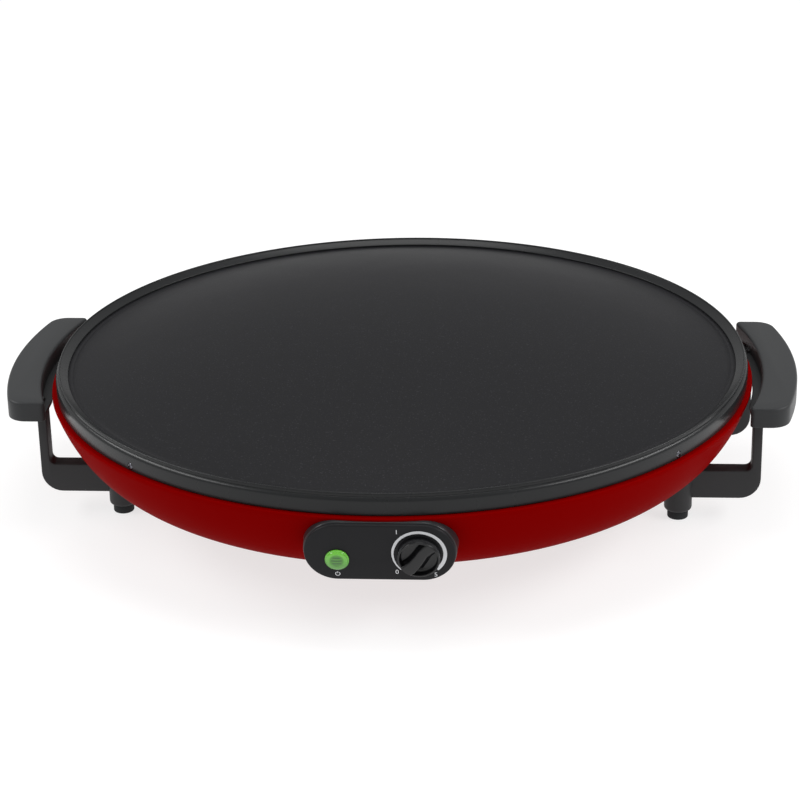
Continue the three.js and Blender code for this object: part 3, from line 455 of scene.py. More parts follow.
def make_piece(name, form, finish, nodes_replaced, body="cooker"):
    """A named piece at its place in the cooker, standing for the given nodes."""
    bmesh.ops.remove_doubles(form, verts=form.verts, dist=merge_gap)
    bmesh.ops.recalc_face_normals(form, faces=form.faces)
    for face in form.faces:
        face.smooth = True
    for edge in form.edges:
        edge.smooth = edge.is_manifold and edge.calc_face_angle() < crease
    open_edges = sum(1 for edge in form.edges if not edge.is_manifold)
    piece = add_object(name, form, to_axis, finish, body)
    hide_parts(*nodes_replaced)
    print(name, "faces", len(piece.data.polygons), "open edges", open_edges)


# %% [markdown]
# The bowl is one pressed sheet of steel: a flat floor, a wall that bellies outward, a
# rolled shoulder, a ledge and a neck that carries the ring. One curve with two handles
# draws the whole wall, the spin makes it round, and Solidify gives the sheet its
# thickness, inward, so that the outside keeps its size.

# %% Bowl: its outline
bowl_low, bowl_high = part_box("base_shell")
shoulder_radius = (bowl_high.x - bowl_low.x) / 2 / mm
floor_height = bowl_low.z / mm
lip_height = bowl_high.z / mm
shoulder_height = 80.8
neck_radius = 224.6
lip_radius = 217.5
sheet = 1.5
gap = 0.3
floor_end = Vector((168.8, floor_height))
floor_handle = Vector((203.8, floor_height))
wall_handle = Vector((220.9, 50.4))
wall_end = Vector((shoulder_radius, 79.2))
wall_steps = 36
wall_points = interpolate_bezier(floor_end, floor_handle, wall_handle, wall_end, wall_steps)
wall_line = [(point.x, point.y) for point in wall_points]
print("bowl radius", round(shoulder_radius, 2), "floor", round(floor_height, 2), "lip", round(lip_height, 2))


def bowl_space(grow):
    """The space that the bowl fills up to its shoulder, grown by a gap."""
    line = [(0, floor_height - grow), (wall_line[0][0], floor_height - grow)]
    for (x, z), (far_x, far_z) in zip(wall_line, wall_line[1:]):
        run = hypot(far_x - x, far_z - z)
        line.append(((x + far_x) / 2 + grow * (far_z - z) / run, (z + far_z) / 2 - grow * (far_x - x) / run))
    return spun(line + [(shoulder_radius + grow, shoulder_height + grow), (0, shoulder_height + grow)])


# %% [markdown]
# The panel leans back with the wall, so it gets a frame of its own: X to the right, Y up
# its face and Z out of it, with the middle of the face at the origin.

# %% The panel's frame and its outlines
panel_tilt = radians(11)
panel_place = Vector((1.7, -230.4, 58.624))
panel_frame = Matrix.Translation(panel_place * mm) @ Matrix.Rotation(radians(90) + panel_tilt, 4, "X")
knob_x = 23.0
lamp_x = -25.0
lamp_y = -4.7
face_width = 88.8
face_height = 39.4
face_thick = 2.2
window_width = 63.2
window_height = 23.0
housing_boss_x = 38.0
housing_back = -26.0
print("panel leans back by", round(degrees(panel_tilt)), "degrees")


def arc(centre_x, centre_y, radius, start, end, steps=12):
    """Points along an arc, its angles in degrees."""
    return [(centre_x + radius * cos(radians(start + (end - start) * i / steps)),
             centre_y + radius * sin(radians(start + (end - start) * i / steps))) for i in range(steps + 1)]


def stadium(width, height, centre_x=0.0, centre_y=0.0, steps=24):
    """An outline with round ends."""
    radius = height / 2
    half = width / 2 - radius
    return (arc(centre_x + half, centre_y, radius, -90, 90, steps)
            + arc(centre_x - half, centre_y, radius, 90, 270, steps))


def moved(form, x, y):
    """A form moved sideways, in millimetres."""
    form.transform(Matrix.Translation(Vector((x, y, 0)) * mm))
    return form


def rod(radius, bottom, top, x=0.0, y=0.0, steps=32):
    """A plain round bar along Z, for joins and cuts."""
    return moved(spun([(0, bottom), (radius, bottom), (radius, top), (0, top)], steps=steps), x, y)


def in_panel(form):
    """A form moved from the panel's frame to its place on the bowl."""
    form.transform(panel_frame)
    return form


# %% [markdown]
# The pressed sheet gets its thickness after the spin. The bosses for the foot screws are
# welded inside, so they are trimmed to the bowl's own space before they are joined to it.

# %% Bowl: the sheet and its bosses
foot_x = 182.1
foot_y = 53.6
foot_places = [(sign_x * foot_x, sign_y * foot_y) for sign_x in (-1, 1) for sign_y in (-1, 1)]
boss_radius = 7
boss_height = 36.5
shoulder_draw = 0.15
bowl_bends = (0.9, 1.0, 1.2)
first_bend = len(wall_line) + 1
bowl_form = spun([(0, floor_height)] + wall_line
                 + [(shoulder_radius - shoulder_draw, shoulder_height), (neck_radius, shoulder_height),
                    (neck_radius, lip_height), (lip_radius, lip_height)],
                 rounds={first_bend + i: radius for i, radius in enumerate(bowl_bends)}, closed=False)
bmesh.ops.solidify(bowl_form, geom=bowl_form.faces[:], thickness=sheet * mm)
bosses = gathered([rod(boss_radius, floor_height + sheet / 2, boss_height, x, y) for x, y in foot_places])
bosses = combined(bosses, bowl_space(-sheet / 2), "INTERSECT")
bowl_form = combined(bowl_form, bosses, "UNION")
print("bowl sheet and bosses: faces", len(bowl_form.faces))

# %% [markdown]
# The openings are cut all at once, because one boolean with many tools is quicker than
# many booleans. They are the holes of the foot and reflector screws, the vents in the
# floor, the window and screw holes behind the panel and the hole for the cord. The holes
# for the ring's screws follow.

# %% Bowl: its openings
bore = 2.05
past = 3
above_floor = floor_height + 5
below_floor = floor_height - past
pillar_radius = 138
vent_count = 10
vent_length = 30
vent_width = 5
vent_radius = 78
gland_height = 52.0
cord_hole_radius = 6.8
cord_hole_start = 195
cord_hole_end = 233
rim_screw_height = 83.8
rim_screw_bore = 1.5
rim_screw_degrees = [4.35 + way * 46.75 + turn for way in (-1, 1) for turn in (0, 180)]


def outward(angle):
    """Turns the Z axis so that it points outward at the rim screws' height, at an angle in degrees."""
    return (Matrix.Rotation(radians(angle), 4, "Z") @ Matrix.Translation((0, 0, rim_screw_height * mm))
            @ Matrix.Rotation(radians(90), 4, "X"))


cuts = [rod(bore, below_floor, boss_height + past, x, y) for x, y in foot_places]
for angle in (90, 210, 330):
    pillar_x = pillar_radius * cos(radians(angle))
    pillar_y = pillar_radius * sin(radians(angle))
    cuts.append(rod(bore, below_floor, above_floor, pillar_x, pillar_y))
for i in range(vent_count):
    vent = tile(stadium(vent_length, vent_width, vent_radius, steps=10), above_floor, below_floor)
    vent.transform(Matrix.Rotation(2 * pi * (i + 0.5) / vent_count, 4, "Z"))
    cuts.append(vent)
window = stadium(window_width, window_height, (knob_x + lamp_x) / 2)
cuts.append(in_panel(tile(window, past, housing_back)))
cuts += [in_panel(rod(bore, housing_back, past, x)) for x in (-housing_boss_x, housing_boss_x)]
cord_hole = rod(cord_hole_radius, cord_hole_start, cord_hole_end)
cord_hole.transform(Matrix.Translation((0, 0, gland_height * mm)) @ Matrix.Rotation(radians(-90), 4, "X"))
cuts.append(cord_hole)
bowl_form = combined(bowl_form, gathered(cuts))
for angle in rim_screw_degrees:
    hole = rod(rim_screw_bore, lip_radius - 2.5, neck_radius + 3.4, steps=16)
    hole.transform(outward(angle))
    bowl_form = combined(bowl_form, hole)
make_piece("bowl", bowl_form, bowl_paint, ["base_shell"])

# %% [markdown]
# The rim ring is pressed from thicker sheet: an upright band, a rounded shoulder, a
# thin rolled bead on top and a lip that slopes inward over the plate. The bead catches
# the light as one fine line all round, so it gets its own small arc in the profile.

# %% Rim ring
ring_bottom = ring_low.z / mm
ring_top = ring_high.z / mm
outer = ring_radius / mm
band_inner = outer - 2.5
ring_lip = outer - 8
ring_lip_bottom = 90.1
bead = 0.55
bead_inset = 2.35
shoulder = 3.2
shoulder_foot = 89.4
counterbore = 2.4
counterbore_floor = outer - 0.9
shoulder_line = arc(outer - shoulder, shoulder_foot, shoulder, 0, 62, 10)
bead_line = arc(outer - bead_inset, ring_top - bead, bead, -50, 205, 12)
lip_line = [(outer - 3.3, 93.3), (ring_lip, 91.1), (ring_lip, ring_lip_bottom), (band_inner, ring_lip_bottom)]
ring_line = ([(band_inner, ring_bottom), (outer, ring_bottom)] + shoulder_line + [(outer - 1.95, 92.3)]
             + bead_line + lip_line)
ring_form = spun(ring_line, rounds={1: 0.5, len(ring_line) - 3: 0.3}, steps=360)
for angle in rim_screw_degrees:
    for radius, start, end in ((counterbore, counterbore_floor, outer + past),
                               (rim_screw_bore, outer - 6, outer)):
        hole = rod(radius, start, end, steps=24)
        hole.transform(outward(angle))
        ring_form = combined(ring_form, hole)
make_piece("rim_band", ring_form, ring_coating, ["rim_ring"])

# %% [markdown]
# Four small pan-head screws hold the ring. A cross recess and a domed head are what the
# eye finds at this size, and a dark plated finish keeps them quiet in the black band.

# %% Rim screws
screw_seat = outer - 0.8
shank_radius = 1.2
shank_end = -7
head_radius = 2.15
head_edge = 0.45
head_dome = 0.85
recess_half = 1.15
recess_side = 0.3
recess_floor = 0.55
dome_top = [(head_radius * cos(radians(a)), head_edge + head_dome * sin(radians(a)))
            for a in range(0, 90, 15)]
screw_form = spun([(0, shank_end), (shank_radius, shank_end), (shank_radius, 0), (head_radius, 0)]
                  + dome_top + [(0, head_edge + head_dome)], steps=32)
for turn in (0, 90):
    recess = tile(box_outline(-recess_half, recess_half, -recess_side, recess_side), past, recess_floor)
    recess.transform(Matrix.Rotation(radians(turn), 4, "Z"))
    screw_form = combined(screw_form, recess)
for number, angle in enumerate(rim_screw_degrees, start=1):
    screw = placed(screw_form, outward(angle) @ Matrix.Translation((0, 0, screw_seat * mm)))
    make_piece(f"ring_screw_{number}", screw, dark_zinc, [f"rim_screw_{number}"])
screw_form.free()

# %% [markdown]
# The plate is a casting with a high even dome, so that thin dough is stretched over it.
# Its arc comes from the crown and the radius of the dome's edge; a shallow gutter runs
# round it, and the flange rests on the gasket under the ring's lip.

# %% Griddle plate
plate_low, plate_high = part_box("cooking_plate")
flange_radius = (plate_high.x - plate_low.x) / 2 / mm
flange_bottom = plate_low.z / mm
flange_thick = 2.1
gutter_width = 6.5
dome_step = 0.4
flange_top = flange_bottom + flange_thick
dome_edge = flange_radius - gutter_width
dome_edge_height = flange_top + dome_step
crown = plate_high.z / mm - dome_edge_height
dome_radius = (dome_edge ** 2 + crown ** 2) / (2 * crown)
dome_centre = dome_edge_height + crown - dome_radius
plate_wall = 3.2


def dome_line(drop, reach, steps=72):
    """Points of the dome's arc from the axis out to a radius, lowered square to its surface."""
    radius = dome_radius - drop
    outs = [reach * i / steps for i in range(steps + 1)]
    return [(out, dome_centre + sqrt(radius ** 2 - out ** 2)) for out in outs]


under_edge = sqrt((dome_radius - plate_wall) ** 2 - (flange_bottom - dome_centre) ** 2)
under_line = dome_line(plate_wall, under_edge)
top_line = dome_line(0, dome_edge)
plate_line = (under_line + [(flange_radius, flange_bottom), (flange_radius, flange_top)]
              + [(dome_edge + dome_step, flange_top)] + list(reversed(top_line)))
flange_corner = len(under_line) + 1
plate_form = spun(plate_line, rounds={flange_corner: 0.4, flange_corner + 1: 0.3})
print("dome: crown", round(crown, 1), "mm over a radius of", round(dome_edge, 1), "mm")
make_piece("griddle_plate", plate_form, plate_coating, ["cooking_plate"])

# %% [markdown]
# Four L-shaped arms hang the side grips on the bowl. Each is one moulding: an upright, a
# bar that runs under the bowl, and a round post that is both the screw boss and the
# foot. It is drawn once, from the front, and mirrored to the other three places. A small
# step in the upright takes the edge of the grip.

# %% Arms
arm_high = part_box("right_rear_arm")[1]
arm_reach = arm_high.x / mm
arm_top = arm_high.z / mm
arm_outer = 234.8
arm_inner = 228.8
arm_back = 56.5
arm_thick = 12.0
bar_bottom = 14.4
bar_top = 33.8
lug_bottom = 73.3
step_inner = arm_inner + 2.2
step_height = 73
pad_height = 5.7
post_radius = 9.0
grip_screw_x = 240.4
arm_middle = arm_back - arm_thick / 2
edge_round = 0.9
corner_rounds = {1: 13.5, 8: 4.0, 3: 1.2, 4: 1.2}
arm_outline = [(foot_x, bar_bottom), (arm_outer, bar_bottom), (arm_outer, lug_bottom),
               (arm_reach, lug_bottom), (arm_reach, arm_top), (step_inner, arm_top),
               (step_inner, step_height), (arm_inner, step_height), (arm_inner, bar_top), (foot_x, bar_top)]
arm_form = slab(arm_outline, arm_thick, corner_rounds, segments=8)
arm_form.transform(Matrix.Translation((0, (arm_back - arm_thick) * mm, 0)))
round_end(arm_form, (0, 1, 0), edge_round)
round_end(arm_form, (0, -1, 0), edge_round)
post_form = spun([(0, pad_height), (post_radius, pad_height), (post_radius, boss_height), (0, boss_height)],
                 rounds={1: 2.2}, steps=64)
arm_form = combined(arm_form, moved(post_form, foot_x, foot_y), "UNION")
arm_form = combined(arm_form, bowl_space(gap))
pad_hole = rod(3.3, 0, 12, foot_x, foot_y)
foot_screw_hole = rod(bore, 18, 40, foot_x, foot_y)
grip_screw_hole = rod(bore, 60, 80, grip_screw_x, arm_middle)
grip_screw_seat = moved(spun([(0, 70), (3.8, 70), (3.8, 74), (bore, 76), (0, 76)], steps=32),
                        grip_screw_x, arm_middle)
for cut in (pad_hole, foot_screw_hole, grip_screw_hole, grip_screw_seat):
    arm_form = combined(arm_form, cut)
for side, sign_x in (("left", -1), ("right", 1)):
    for end, sign_y in (("front", -1), ("rear", 1)):
        mirrored = placed(arm_form, Matrix.Diagonal((sign_x, sign_y, 1, 1)))
        make_piece(f"{side}_{end}_bracket_arm", mirrored, arm_plastic, [f"{side}_{end}_arm"])
arm_form.free()

# %% [markdown]
# The grips are hollow mouldings, open underneath. The inner and outer edges are arcs
# about the plate's axis, the outer corners are generous and the inner ones tight. The
# pocket under the grip is the same outline drawn in by the wall. Each arm's upright enters
# the pocket through a notch, and its screw ends in a boss.

# %% Side grips
grip_low, grip_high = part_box("right_grip")
grip_outer = grip_high.x / mm
grip_inner = 236.8
grip_bottom = grip_low.z / mm
grip_top = grip_high.z / mm
grip_half = (grip_high.y - grip_low.y) / 2 / mm
grip_wall = 2.5
outer_corner = 13
inner_corner = 3
print("grip length", round(2 * grip_half, 1), "height", round(grip_top - grip_bottom, 1))


def grip_outline(inset):
    """The grip seen from above, drawn in all round."""
    near = grip_inner + inset
    far = grip_outer - inset
    end_y = grip_half - inset
    far_round = outer_corner - inset
    near_round = inner_corner + inset
    far_x = sqrt((far - far_round) ** 2 - (end_y - far_round) ** 2)
    near_x = sqrt((near + near_round) ** 2 - (end_y - near_round) ** 2)
    far_turn = degrees(atan2(end_y - far_round, far_x))
    near_turn = degrees(atan2(end_y - near_round, near_x))
    half = (arc(0, 0, far, 0, far_turn, 20) + arc(far_x, end_y - far_round, far_round, far_turn, 90, 12)
            + arc(near_x, end_y - near_round, near_round, 90, 180 + near_turn, 8)
            + arc(0, 0, near, near_turn, 0, 20))
    return half + [(x, -y) for x, y in reversed(half[1:-1])]


top_round = 2.0
under_round = 0.5
grip_form = tile(grip_outline(0), grip_top, grip_bottom)
round_end(grip_form, (0, 0, 1), top_round, steps=6)
round_end(grip_form, (0, 0, -1), under_round)
grip_form = combined(grip_form, tile(grip_outline(grip_wall), grip_top - grip_wall, grip_bottom - past))
notch_half = arm_thick / 2 + gap
grip_boss = 4.2
grip_boss_sink = 0.5
grip_hole_end = 84.2
for sign_y in (-1, 1):
    middle = sign_y * arm_middle
    notch_line = box_outline(200, arm_reach + gap, middle - notch_half, middle + notch_half)
    grip_form = combined(grip_form, tile(notch_line, arm_top + gap, grip_bottom - past))
    lug_boss = rod(grip_boss, arm_top + gap, grip_top - grip_wall + grip_boss_sink, grip_screw_x, middle)
    grip_form = combined(grip_form, lug_boss, "UNION")
    grip_form = combined(grip_form, rod(bore, 70, grip_hole_end, grip_screw_x, middle))

# %% [markdown]
# A thin lip under each grip closes the space to the bowl and keeps its heat off the
# fingers. Its inner edge follows the bowl's shoulder and runs straight over the steps of
# the uprights. The cuts round the uprights are a little wider than the grip's notches,
# because a boolean fails easily where two walls lie exactly on each other.

# %% Lip of the grips
lip_inner = shoulder_radius + gap
lip_outer = grip_inner + 1.2
lip_rise = 0.15
lip_bend = 45.0
lip_end = 66.0
lip_cut_half = 6.5
lip_near_turn = degrees(asin(lip_bend / lip_inner))
lip_far_turn = degrees(asin(lip_end / lip_outer))
lip_x = lip_inner * cos(radians(lip_near_turn))
lip = tile(arc(0, 0, lip_inner, -lip_near_turn, lip_near_turn, 20) + [(lip_x, lip_end)]
           + arc(0, 0, lip_outer, lip_far_turn, -lip_far_turn, 24) + [(lip_x, -lip_end)],
           grip_bottom + grip_wall, grip_bottom + lip_rise)
for sign_y in (-1, 1):
    middle = sign_y * arm_middle
    cut_line = box_outline(step_inner - gap, 250, middle - lip_cut_half, middle + lip_cut_half)
    lip = combined(lip, tile(cut_line, grip_bottom + 5, grip_bottom - 5))
grip_form = combined(grip_form, lip, "UNION")
for side, sign_x in (("left", -1), ("right", 1)):
    mirrored = placed(grip_form, Matrix.Diagonal((sign_x, 1, 1, 1)))
    make_piece(f"{side}_side_grip", mirrored, grip_plastic, [f"{side}_grip"])
grip_form.free()

# %% [markdown]
# A rubber pad is pushed into the hollow end of each foot post by its stem.

# %% Foot pads
pad_radius = 6.75
stem_radius = 3
stem_top = 11.7
pad_form = spun([(0, 0), (pad_radius, 0), (pad_radius, pad_height), (stem_radius, pad_height),
                 (stem_radius, stem_top), (0, stem_top)], rounds={1: 1.0, 2: 0.3}, steps=64)
for number, (x, y) in enumerate(foot_places, start=1):
    pad = moved(pad_form.copy(), x, y)
    make_piece(f"rubber_pad_{number}", pad, pad_rubber, [f"foot_pad_{number}"])
pad_form.free()

# %% [markdown]
# The control housing is a short tapered sleeve that grows out of the bowl's wall. It is
# cut to the bowl's curve and kept clear of the ring above. Inside, a web at each end holds
# a boss for a screw that comes through the wall.

# %% Control housing
housing_front = -face_thick - gap
housing_wall = 2.2
housing_width = face_width + 0.8
housing_height = face_height + 0.8
housing_draft = 1.04
web_half = 1.1
housing_boss = 3.6
housing_bore = 2.3
under_ring = 78.4
housing_form = tile(stadium(housing_width, housing_height, steps=48), housing_front, housing_back)
for corner in housing_form.verts:
    if corner.co.z < (housing_back + 0.1) * mm:
        corner.co.x *= housing_draft
        corner.co.y *= housing_draft
round_end(housing_form, (0, 0, 1), 0.5)
cavity_line = stadium(housing_width - 2 * housing_wall, housing_height - 2 * housing_wall, steps=48)
housing_form = combined(housing_form, tile(cavity_line, past, housing_back - 4))
for sign in (-1, 1):
    boss_x = sign * housing_boss_x
    web_end = sign * (housing_width / 2 - 1)
    web = tile(box_outline(boss_x, web_end, -web_half, web_half), housing_front - 0.6, housing_back + 1.2)
    housing_form = combined(housing_form, web, "UNION")
    boss = rod(housing_boss, housing_back + 1, housing_front - 0.4, boss_x)
    housing_form = combined(housing_form, boss, "UNION")
    housing_form = combined(housing_form, rod(housing_bore, housing_back - past, past, boss_x))
housing_form = combined(in_panel(housing_form), bowl_space(gap))
housing_form = combined(housing_form, rod(shoulder_radius + gap, under_ring, 95, steps=ring_steps))
make_piece("panel_housing", housing_form, housing_plastic, ["control_housing"])

# %% [markdown]
# The face is a separate moulding set on the housing's front, with a fine round all along
# its edge. Two pegs on its back fit the bosses of the housing.

# %% Control face
spindle_bore = 3.3
lamp_bore = 5.7
peg_radius = 2.0
peg_end = -6.2
face_form = tile(stadium(face_width, face_height, steps=64), 0, -face_thick)
round_end(face_form, (0, 0, 1), 1.0, steps=5)
face_form = combined(face_form, rod(spindle_bore, -past, past, knob_x))
face_form = combined(face_form, rod(lamp_bore, -past, past, lamp_x, lamp_y))
for sign in (-1, 1):
    peg = rod(peg_radius, peg_end, -face_thick / 2, sign * housing_boss_x)
    face_form = combined(face_form, peg, "UNION")
make_piece("panel_face", in_panel(face_form), face_plastic, ["control_face"])

# %% [markdown]
# The dial's scale is printed: a wedge that grows from thin at the coolest setting to
# broad at the hottest, three plain numbers and a plain mark under the lamp. Print has
# almost no thickness, so each mark is a flat sheet a few hundredths of a millimetre proud
# of the face.

# %% Dial print
print_lift = 0.04
scale_radius = 16.2
scale_end = 42.6
scale_steps = 60
thin_end = 0.6
quick_growth = 1.05
slow_growth = 0.65
quick_part = 0.25


def print_on_face(name, form):
    """A printed mark, laid on the face."""
    bmesh.ops.remove_doubles(form, verts=form.verts, dist=merge_gap / 2)
    place = to_axis @ panel_frame @ Matrix.Translation((0, 0, print_lift * mm))
    mark = add_object(name, form, place, dial_print)
    print(name, "faces", len(mark.data.polygons))


scale_form = bmesh.new()
rows = []
for i in range(scale_steps + 1):
    share = i / scale_steps
    turn = radians(-90 - scale_end - (360 - 2 * scale_end) * share)
    width = thin_end + quick_growth * min(share / quick_part, 1)
    width += slow_growth * max(share - quick_part, 0) / (1 - quick_part)
    rows.append([scale_form.verts.new(((knob_x + r * cos(turn)) * mm, r * sin(turn) * mm, 0))
                 for r in (scale_radius - width, scale_radius)])
for before, after in zip(rows, rows[1:]):
    scale_form.faces.new((before[0], before[1], after[1], after[0]))
bmesh.ops.recalc_face_normals(scale_form, faces=scale_form.faces)
if sum(f.normal.z for f in scale_form.faces) < 0:
    bmesh.ops.reverse_faces(scale_form, faces=scale_form.faces)
print_on_face("dial_scale", scale_form)

# %% [markdown]
# Each number starts as a text curve and is made a mesh at once, because a piece's place
# has to be in its mesh.

# %% Numbers
cap_height = 3.0
cap_share = 0.7
for label, x, y in (("0", -13.2, -13.6), ("1", -12.8, 15.3), ("5", 9.4, -15.2)):
    text = bpy.data.curves.new("numeral", "FONT")
    text.body = label
    text.size = cap_height * mm / cap_share
    text.align_x = "CENTER"
    text.align_y = "CENTER"
    holder = bpy.data.objects.new("numeral", text)
    scene.collection.objects.link(holder)
    letter = bpy.data.meshes.new_from_object(holder.evaluated_get(bpy.context.evaluated_depsgraph_get()))
    bpy.data.objects.remove(holder)
    letter_form = bmesh.new()
    letter_form.from_mesh(letter)
    bpy.data.meshes.remove(letter)
    print_on_face(f"dial_number_{label}", moved(letter_form, knob_x + x, y))

# %% [markdown]
# The mark under the lamp is a ring of two bridged circles, opened at the top, and a short
# upright stroke.

# %% Mark under the lamp
mark_y = lamp_y - 10.6
mark_outer = 1.5
mark_inner = 1.1
opening_bottom = 0.95
opening_half = 0.75
stroke_middle = 1.05
stroke_width = 0.36
stroke_height = 1.5
mark_form = bmesh.new()
for radius in (mark_outer, mark_inner):
    bmesh.ops.create_circle(mark_form, segments=32, radius=radius * mm)
bmesh.ops.bridge_loops(mark_form, edges=mark_form.edges[:])
opening = []
for face in mark_form.faces:
    middle = face.calc_center_median()
    if middle.y > opening_bottom * mm and abs(middle.x) < opening_half * mm:
        opening.append(face)
bmesh.ops.delete(mark_form, geom=opening, context="FACES")
stroke_place = (Matrix.Translation((0, stroke_middle * mm, 0))
                @ Matrix.Diagonal((stroke_width, stroke_height, 1, 1)))
stroke_form = bmesh.new()
bmesh.ops.create_grid(stroke_form, x_segments=1, y_segments=1, size=0.5 * mm, matrix=stroke_place)
print_on_face("power_mark", moved(gathered([mark_form, stroke_form]), lamp_x, mark_y))

# %% [markdown]
# The knob is a shallow cup with a slightly S-shaped bar across it, so two fingers sit in
# the hollows on either side. The bar is a slab whose lower corners are moved out, which
# gives it one easy flank and one steeper one, and its top edges are well rounded. Cutting
# it with a rod as wide as the cup ends it at the wall.

# %% Thermostat knob
knob_radius = 12.35
knob_rim = 6.3
knob_floor = 2.7
knob_top = 6.8
bar_round = 1.5
bar_foot = 2
bar_inset = 0.35
spindle_hole_end = 5.5
knob_turn = 50
knob_wall = 1.1
knob_wall_foot = 1.5
flank = 4.2
steep_flank = 2.4
flank_end = -6
cup_form = spun([(0, gap), (knob_radius, gap), (knob_radius, knob_rim), (knob_radius - knob_wall, knob_rim),
                 (knob_radius - knob_wall_foot, knob_floor), (0, knob_floor)],
                rounds={1: 0.3, 2: 0.5, 3: 0.4, 4: 1.0}, steps=96)
bar_outline = [(13, 3.0), (9, 3.9), (4, 3.9), (0, 3.3), (-5, 3.2), (-9, 3.9), (-13, 5.2),
               (-13, -3.4), (-9, -4.5), (-5, -4.4), (0, -3.7), (5, -2.7), (9, -3.1), (13, -4.6)]
bar_form = tile(bar_outline, knob_top, gap + 0.7)
for corner in bar_form.verts:
    if corner.co.z < bar_foot * mm and corner.co.y < 0:
        corner.co.y -= (flank if corner.co.x > flank_end * mm else flank / 3) * mm
    elif corner.co.z < bar_foot * mm:
        corner.co.y += steep_flank * mm
round_end(bar_form, (0, 0, 1), bar_round, steps=6)
bar_form = combined(bar_form, rod(knob_radius - bar_inset, -1, 9, steps=96), "INTERSECT")
knob_form = combined(cup_form, bar_form, "UNION")
knob_form = combined(knob_form, rod(spindle_bore, -past, spindle_hole_end))
knob_form.transform(Matrix.Translation((knob_x * mm, 0, 0)) @ Matrix.Rotation(radians(knob_turn), 4, "Z"))
make_piece("dial_knob", in_panel(knob_form), knob_plastic, ["thermostat_knob"], "knob")

# %% [markdown]
# The pilot lamp's lens is a low dome of clear green plastic on a flange. A lit lamp shows
# its own light more than its surface, so the finish has a little emission under a gloss
# coat. Dark bands in the middle of the dome are painted shade, where the moulded facets
# inside it bend the light: a wave makes the bands, the distance from the lens's centre
# keeps them in the middle, and painted shade by height darkens the lens's lower part, so
# that its top looks lit. A colour ramp turns the result into greens. At a scale of 1 the
# wave texture repeats every 0.314 of a metre, so the scale is that over the pitch of the bands.

# %% Finish of the lamp lens
band_pitch = 1.9
wave_repeat = 0.314
lens_centre = to_axis @ panel_frame @ (Vector((lamp_x, lamp_y + 0.8, 1.5)) * mm)
lamp_green = bpy.data.materials.new("lamp_green")
lamp_green.use_nodes = True
lamp_tree = lamp_green.node_tree
lamp_shader = lamp_tree.nodes["Principled BSDF"]
set_values(lamp_shader, {"Roughness": 0.12, "Coat Weight": 0.6, "Emission Strength": 0.12})
lamp_place = add_node(lamp_tree, "TexCoord")
lamp_middle = add_node(lamp_tree, "Mapping", {"Location": -lens_centre})
# Painted shade: a wave of dark bands in the dome's middle, where the facets inside the lens bend the light.
lamp_painted_facet_shade = add_node(lamp_tree, "TexWave", {"Scale": wave_repeat / (band_pitch * mm), "Distortion": 0.8,
                                             "Detail": 1.0}, bands_direction="Z", wave_profile="SIN")
lamp_reach = add_node(lamp_tree, "VectorMath", operation="LENGTH")
lamp_mask = add_node(lamp_tree, "MapRange", {"From Min": 2.8 * mm, "From Max": 4.9 * mm},
                     interpolation_type="SMOOTHSTEP")
lamp_soft = add_node(lamp_tree, "Math", {1: 0.6}, operation="MULTIPLY")
lamp_level = add_node(lamp_tree, "Math", operation="MAXIMUM")
lamp_height = add_node(lamp_tree, "SeparateXYZ")
# Painted shade: the lens gets darker towards its lower part, so that its top looks lit.
lamp_painted_shade_by_height = add_node(lamp_tree, "MapRange", {"From Min": -7 * mm, "From Max": 6 * mm, "To Min": 0.4})
lamp_shade = add_node(lamp_tree, "Math", operation="MULTIPLY")
lamp_tones = add_node(lamp_tree, "ValToRGB")
# The ramp's dark greens carry the painted shade, and its light green the painted lit top.
lamp_tones.color_ramp.elements[0].color = srgb(30, 84, 12)
lamp_tones.color_ramp.elements[1].color = srgb(112, 196, 62)
lamp_tones.color_ramp.elements.new(0.55).color = srgb(70, 140, 30)
for source, output, target, socket in (
        (lamp_place, "Object", lamp_middle, "Vector"),
        (lamp_middle, "Vector", lamp_painted_facet_shade, "Vector"),
        (lamp_middle, "Vector", lamp_reach, 0),
        (lamp_reach, "Value", lamp_mask, "Value"),
        (lamp_painted_facet_shade, "Fac", lamp_soft, 0),
        (lamp_soft, "Value", lamp_level, 0),
        (lamp_mask, "Result", lamp_level, 1),
        (lamp_middle, "Vector", lamp_height, "Vector"),
        (lamp_height, "Z", lamp_painted_shade_by_height, "Value"),
        (lamp_level, "Value", lamp_shade, 0),
        (lamp_painted_shade_by_height, "Result", lamp_shade, 1),
        (lamp_shade, "Value", lamp_tones, "Fac"),
        (lamp_tones, "Color", lamp_shader, "Base Color"),
        (lamp_tones, "Color", lamp_shader, "Emission Color")):
    lamp_tree.links.new(source.outputs[output], target.inputs[socket])

# %% [markdown]
# The lens itself is one turned profile: a stem that fits the face's hole, a thin flange and
# a low dome.

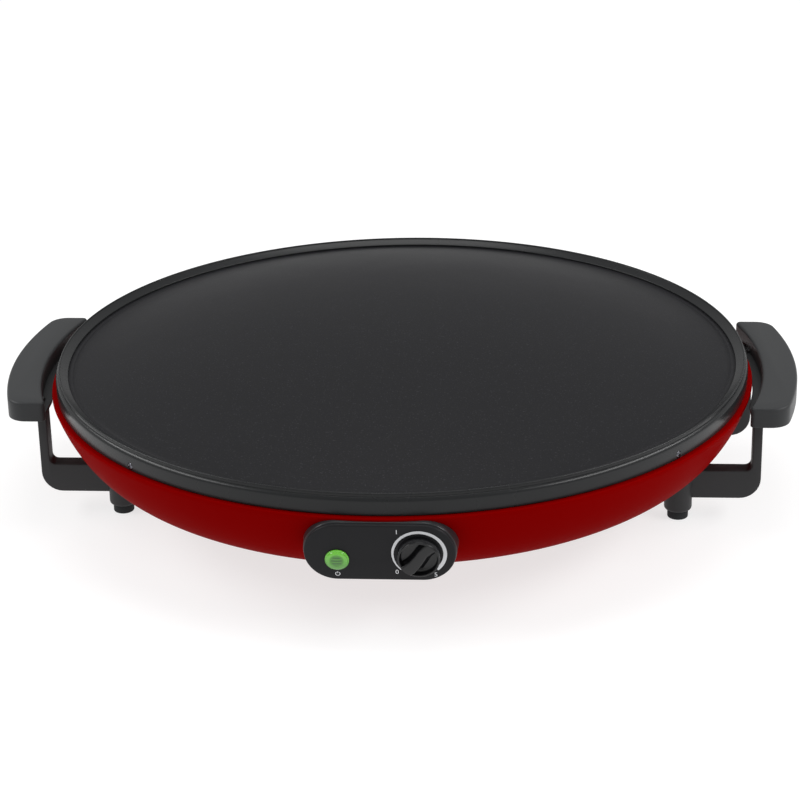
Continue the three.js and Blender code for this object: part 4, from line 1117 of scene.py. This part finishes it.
# %% Lamp lens
lens_stem = 5.4
lens_stem_end = -4
lens_flange = 7.1
flange_edge = 1.1
dome_reach = 6.5
dome_foot = 1.3
dome_rise = 2.1
lens_dome = [(dome_reach * cos(radians(a)), dome_foot + dome_rise * sin(radians(a))) for a in range(6, 90, 6)]
lens_form = spun([(0, lens_stem_end), (lens_stem, lens_stem_end), (lens_stem, gap), (lens_flange, gap),
                  (lens_flange, flange_edge), (dome_reach, dome_foot)] + lens_dome
                 + [(0, dome_foot + dome_rise)], rounds={4: 0.25}, steps=64)
lens_form = in_panel(moved(lens_form, lamp_x, lamp_y))
make_piece("lamp_lens", lens_form, lamp_green, ["power_lamp_lens"])

# %% [markdown]
# The cord enters at the back through a gland, a flanged bush with a rounded mouth. Its
# flange is cut to the bowl's curve so that it sits flat on the wall.

# %% Cord gland
gland_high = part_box("cord_gland")[1]
gland_back = gland_high.y / mm - axis_place.y / mm
gland_bore = 3.6
gland_flange = 10
gland_stem = 6.5
gland_length = 26
stem_start = 3
gland_mouth = 1.2
gland_frame = (Matrix.Translation(Vector((0, gland_back, gland_height)) * mm)
               @ Matrix.Rotation(radians(90), 4, "X"))
gland_form = spun([(gland_bore, 0), (gland_flange, 0), (gland_flange, gland_length),
                   (gland_bore, gland_length)], rounds={0: gland_mouth, 1: gland_mouth}, steps=64)
gland_form.transform(gland_frame)
gland_form = combined(gland_form, bowl_space(gap))
stem_form = spun([(gland_bore, stem_start), (gland_stem, stem_start), (gland_stem, gland_length),
                  (gland_bore, gland_length)], steps=48)
stem_form.transform(gland_frame)
gland_form = combined(gland_form, stem_form, "UNION")
make_piece("cord_bush", gland_form, grip_plastic, ["cord_gland"])

# %% [markdown]
# What is left are the pieces that sit inside or underneath. Their solids already have the
# right shape, so they only take their finish, by the material slot that the record names.

# %% Finishes of the kept solids
slot_finish = {"gasket_fibre": glass_fibre, "grip_plastic": housing_plastic, "lamp_sleeve": steatite,
               "screw_steel": zinc_plate, "bracket_steel": zinc_plate, "reflector_sheet": bright_sheet,
               "heater_sheath": heater_sheath, "ceramic": steatite, "fuse_sleeve": glass_fibre}
slot_of = {part["node"]: part["material_slot"] for part in frame["record"]["subparts"]}
kept = 0
for name, node in nodes.items():
    finish = slot_finish.get(slot_of[name])
    if finish is None or node.hide_render:
        continue
    for holder in node.material_slots:
        holder.material = finish
    kept += 1
print("solids kept with a new finish:", kept)
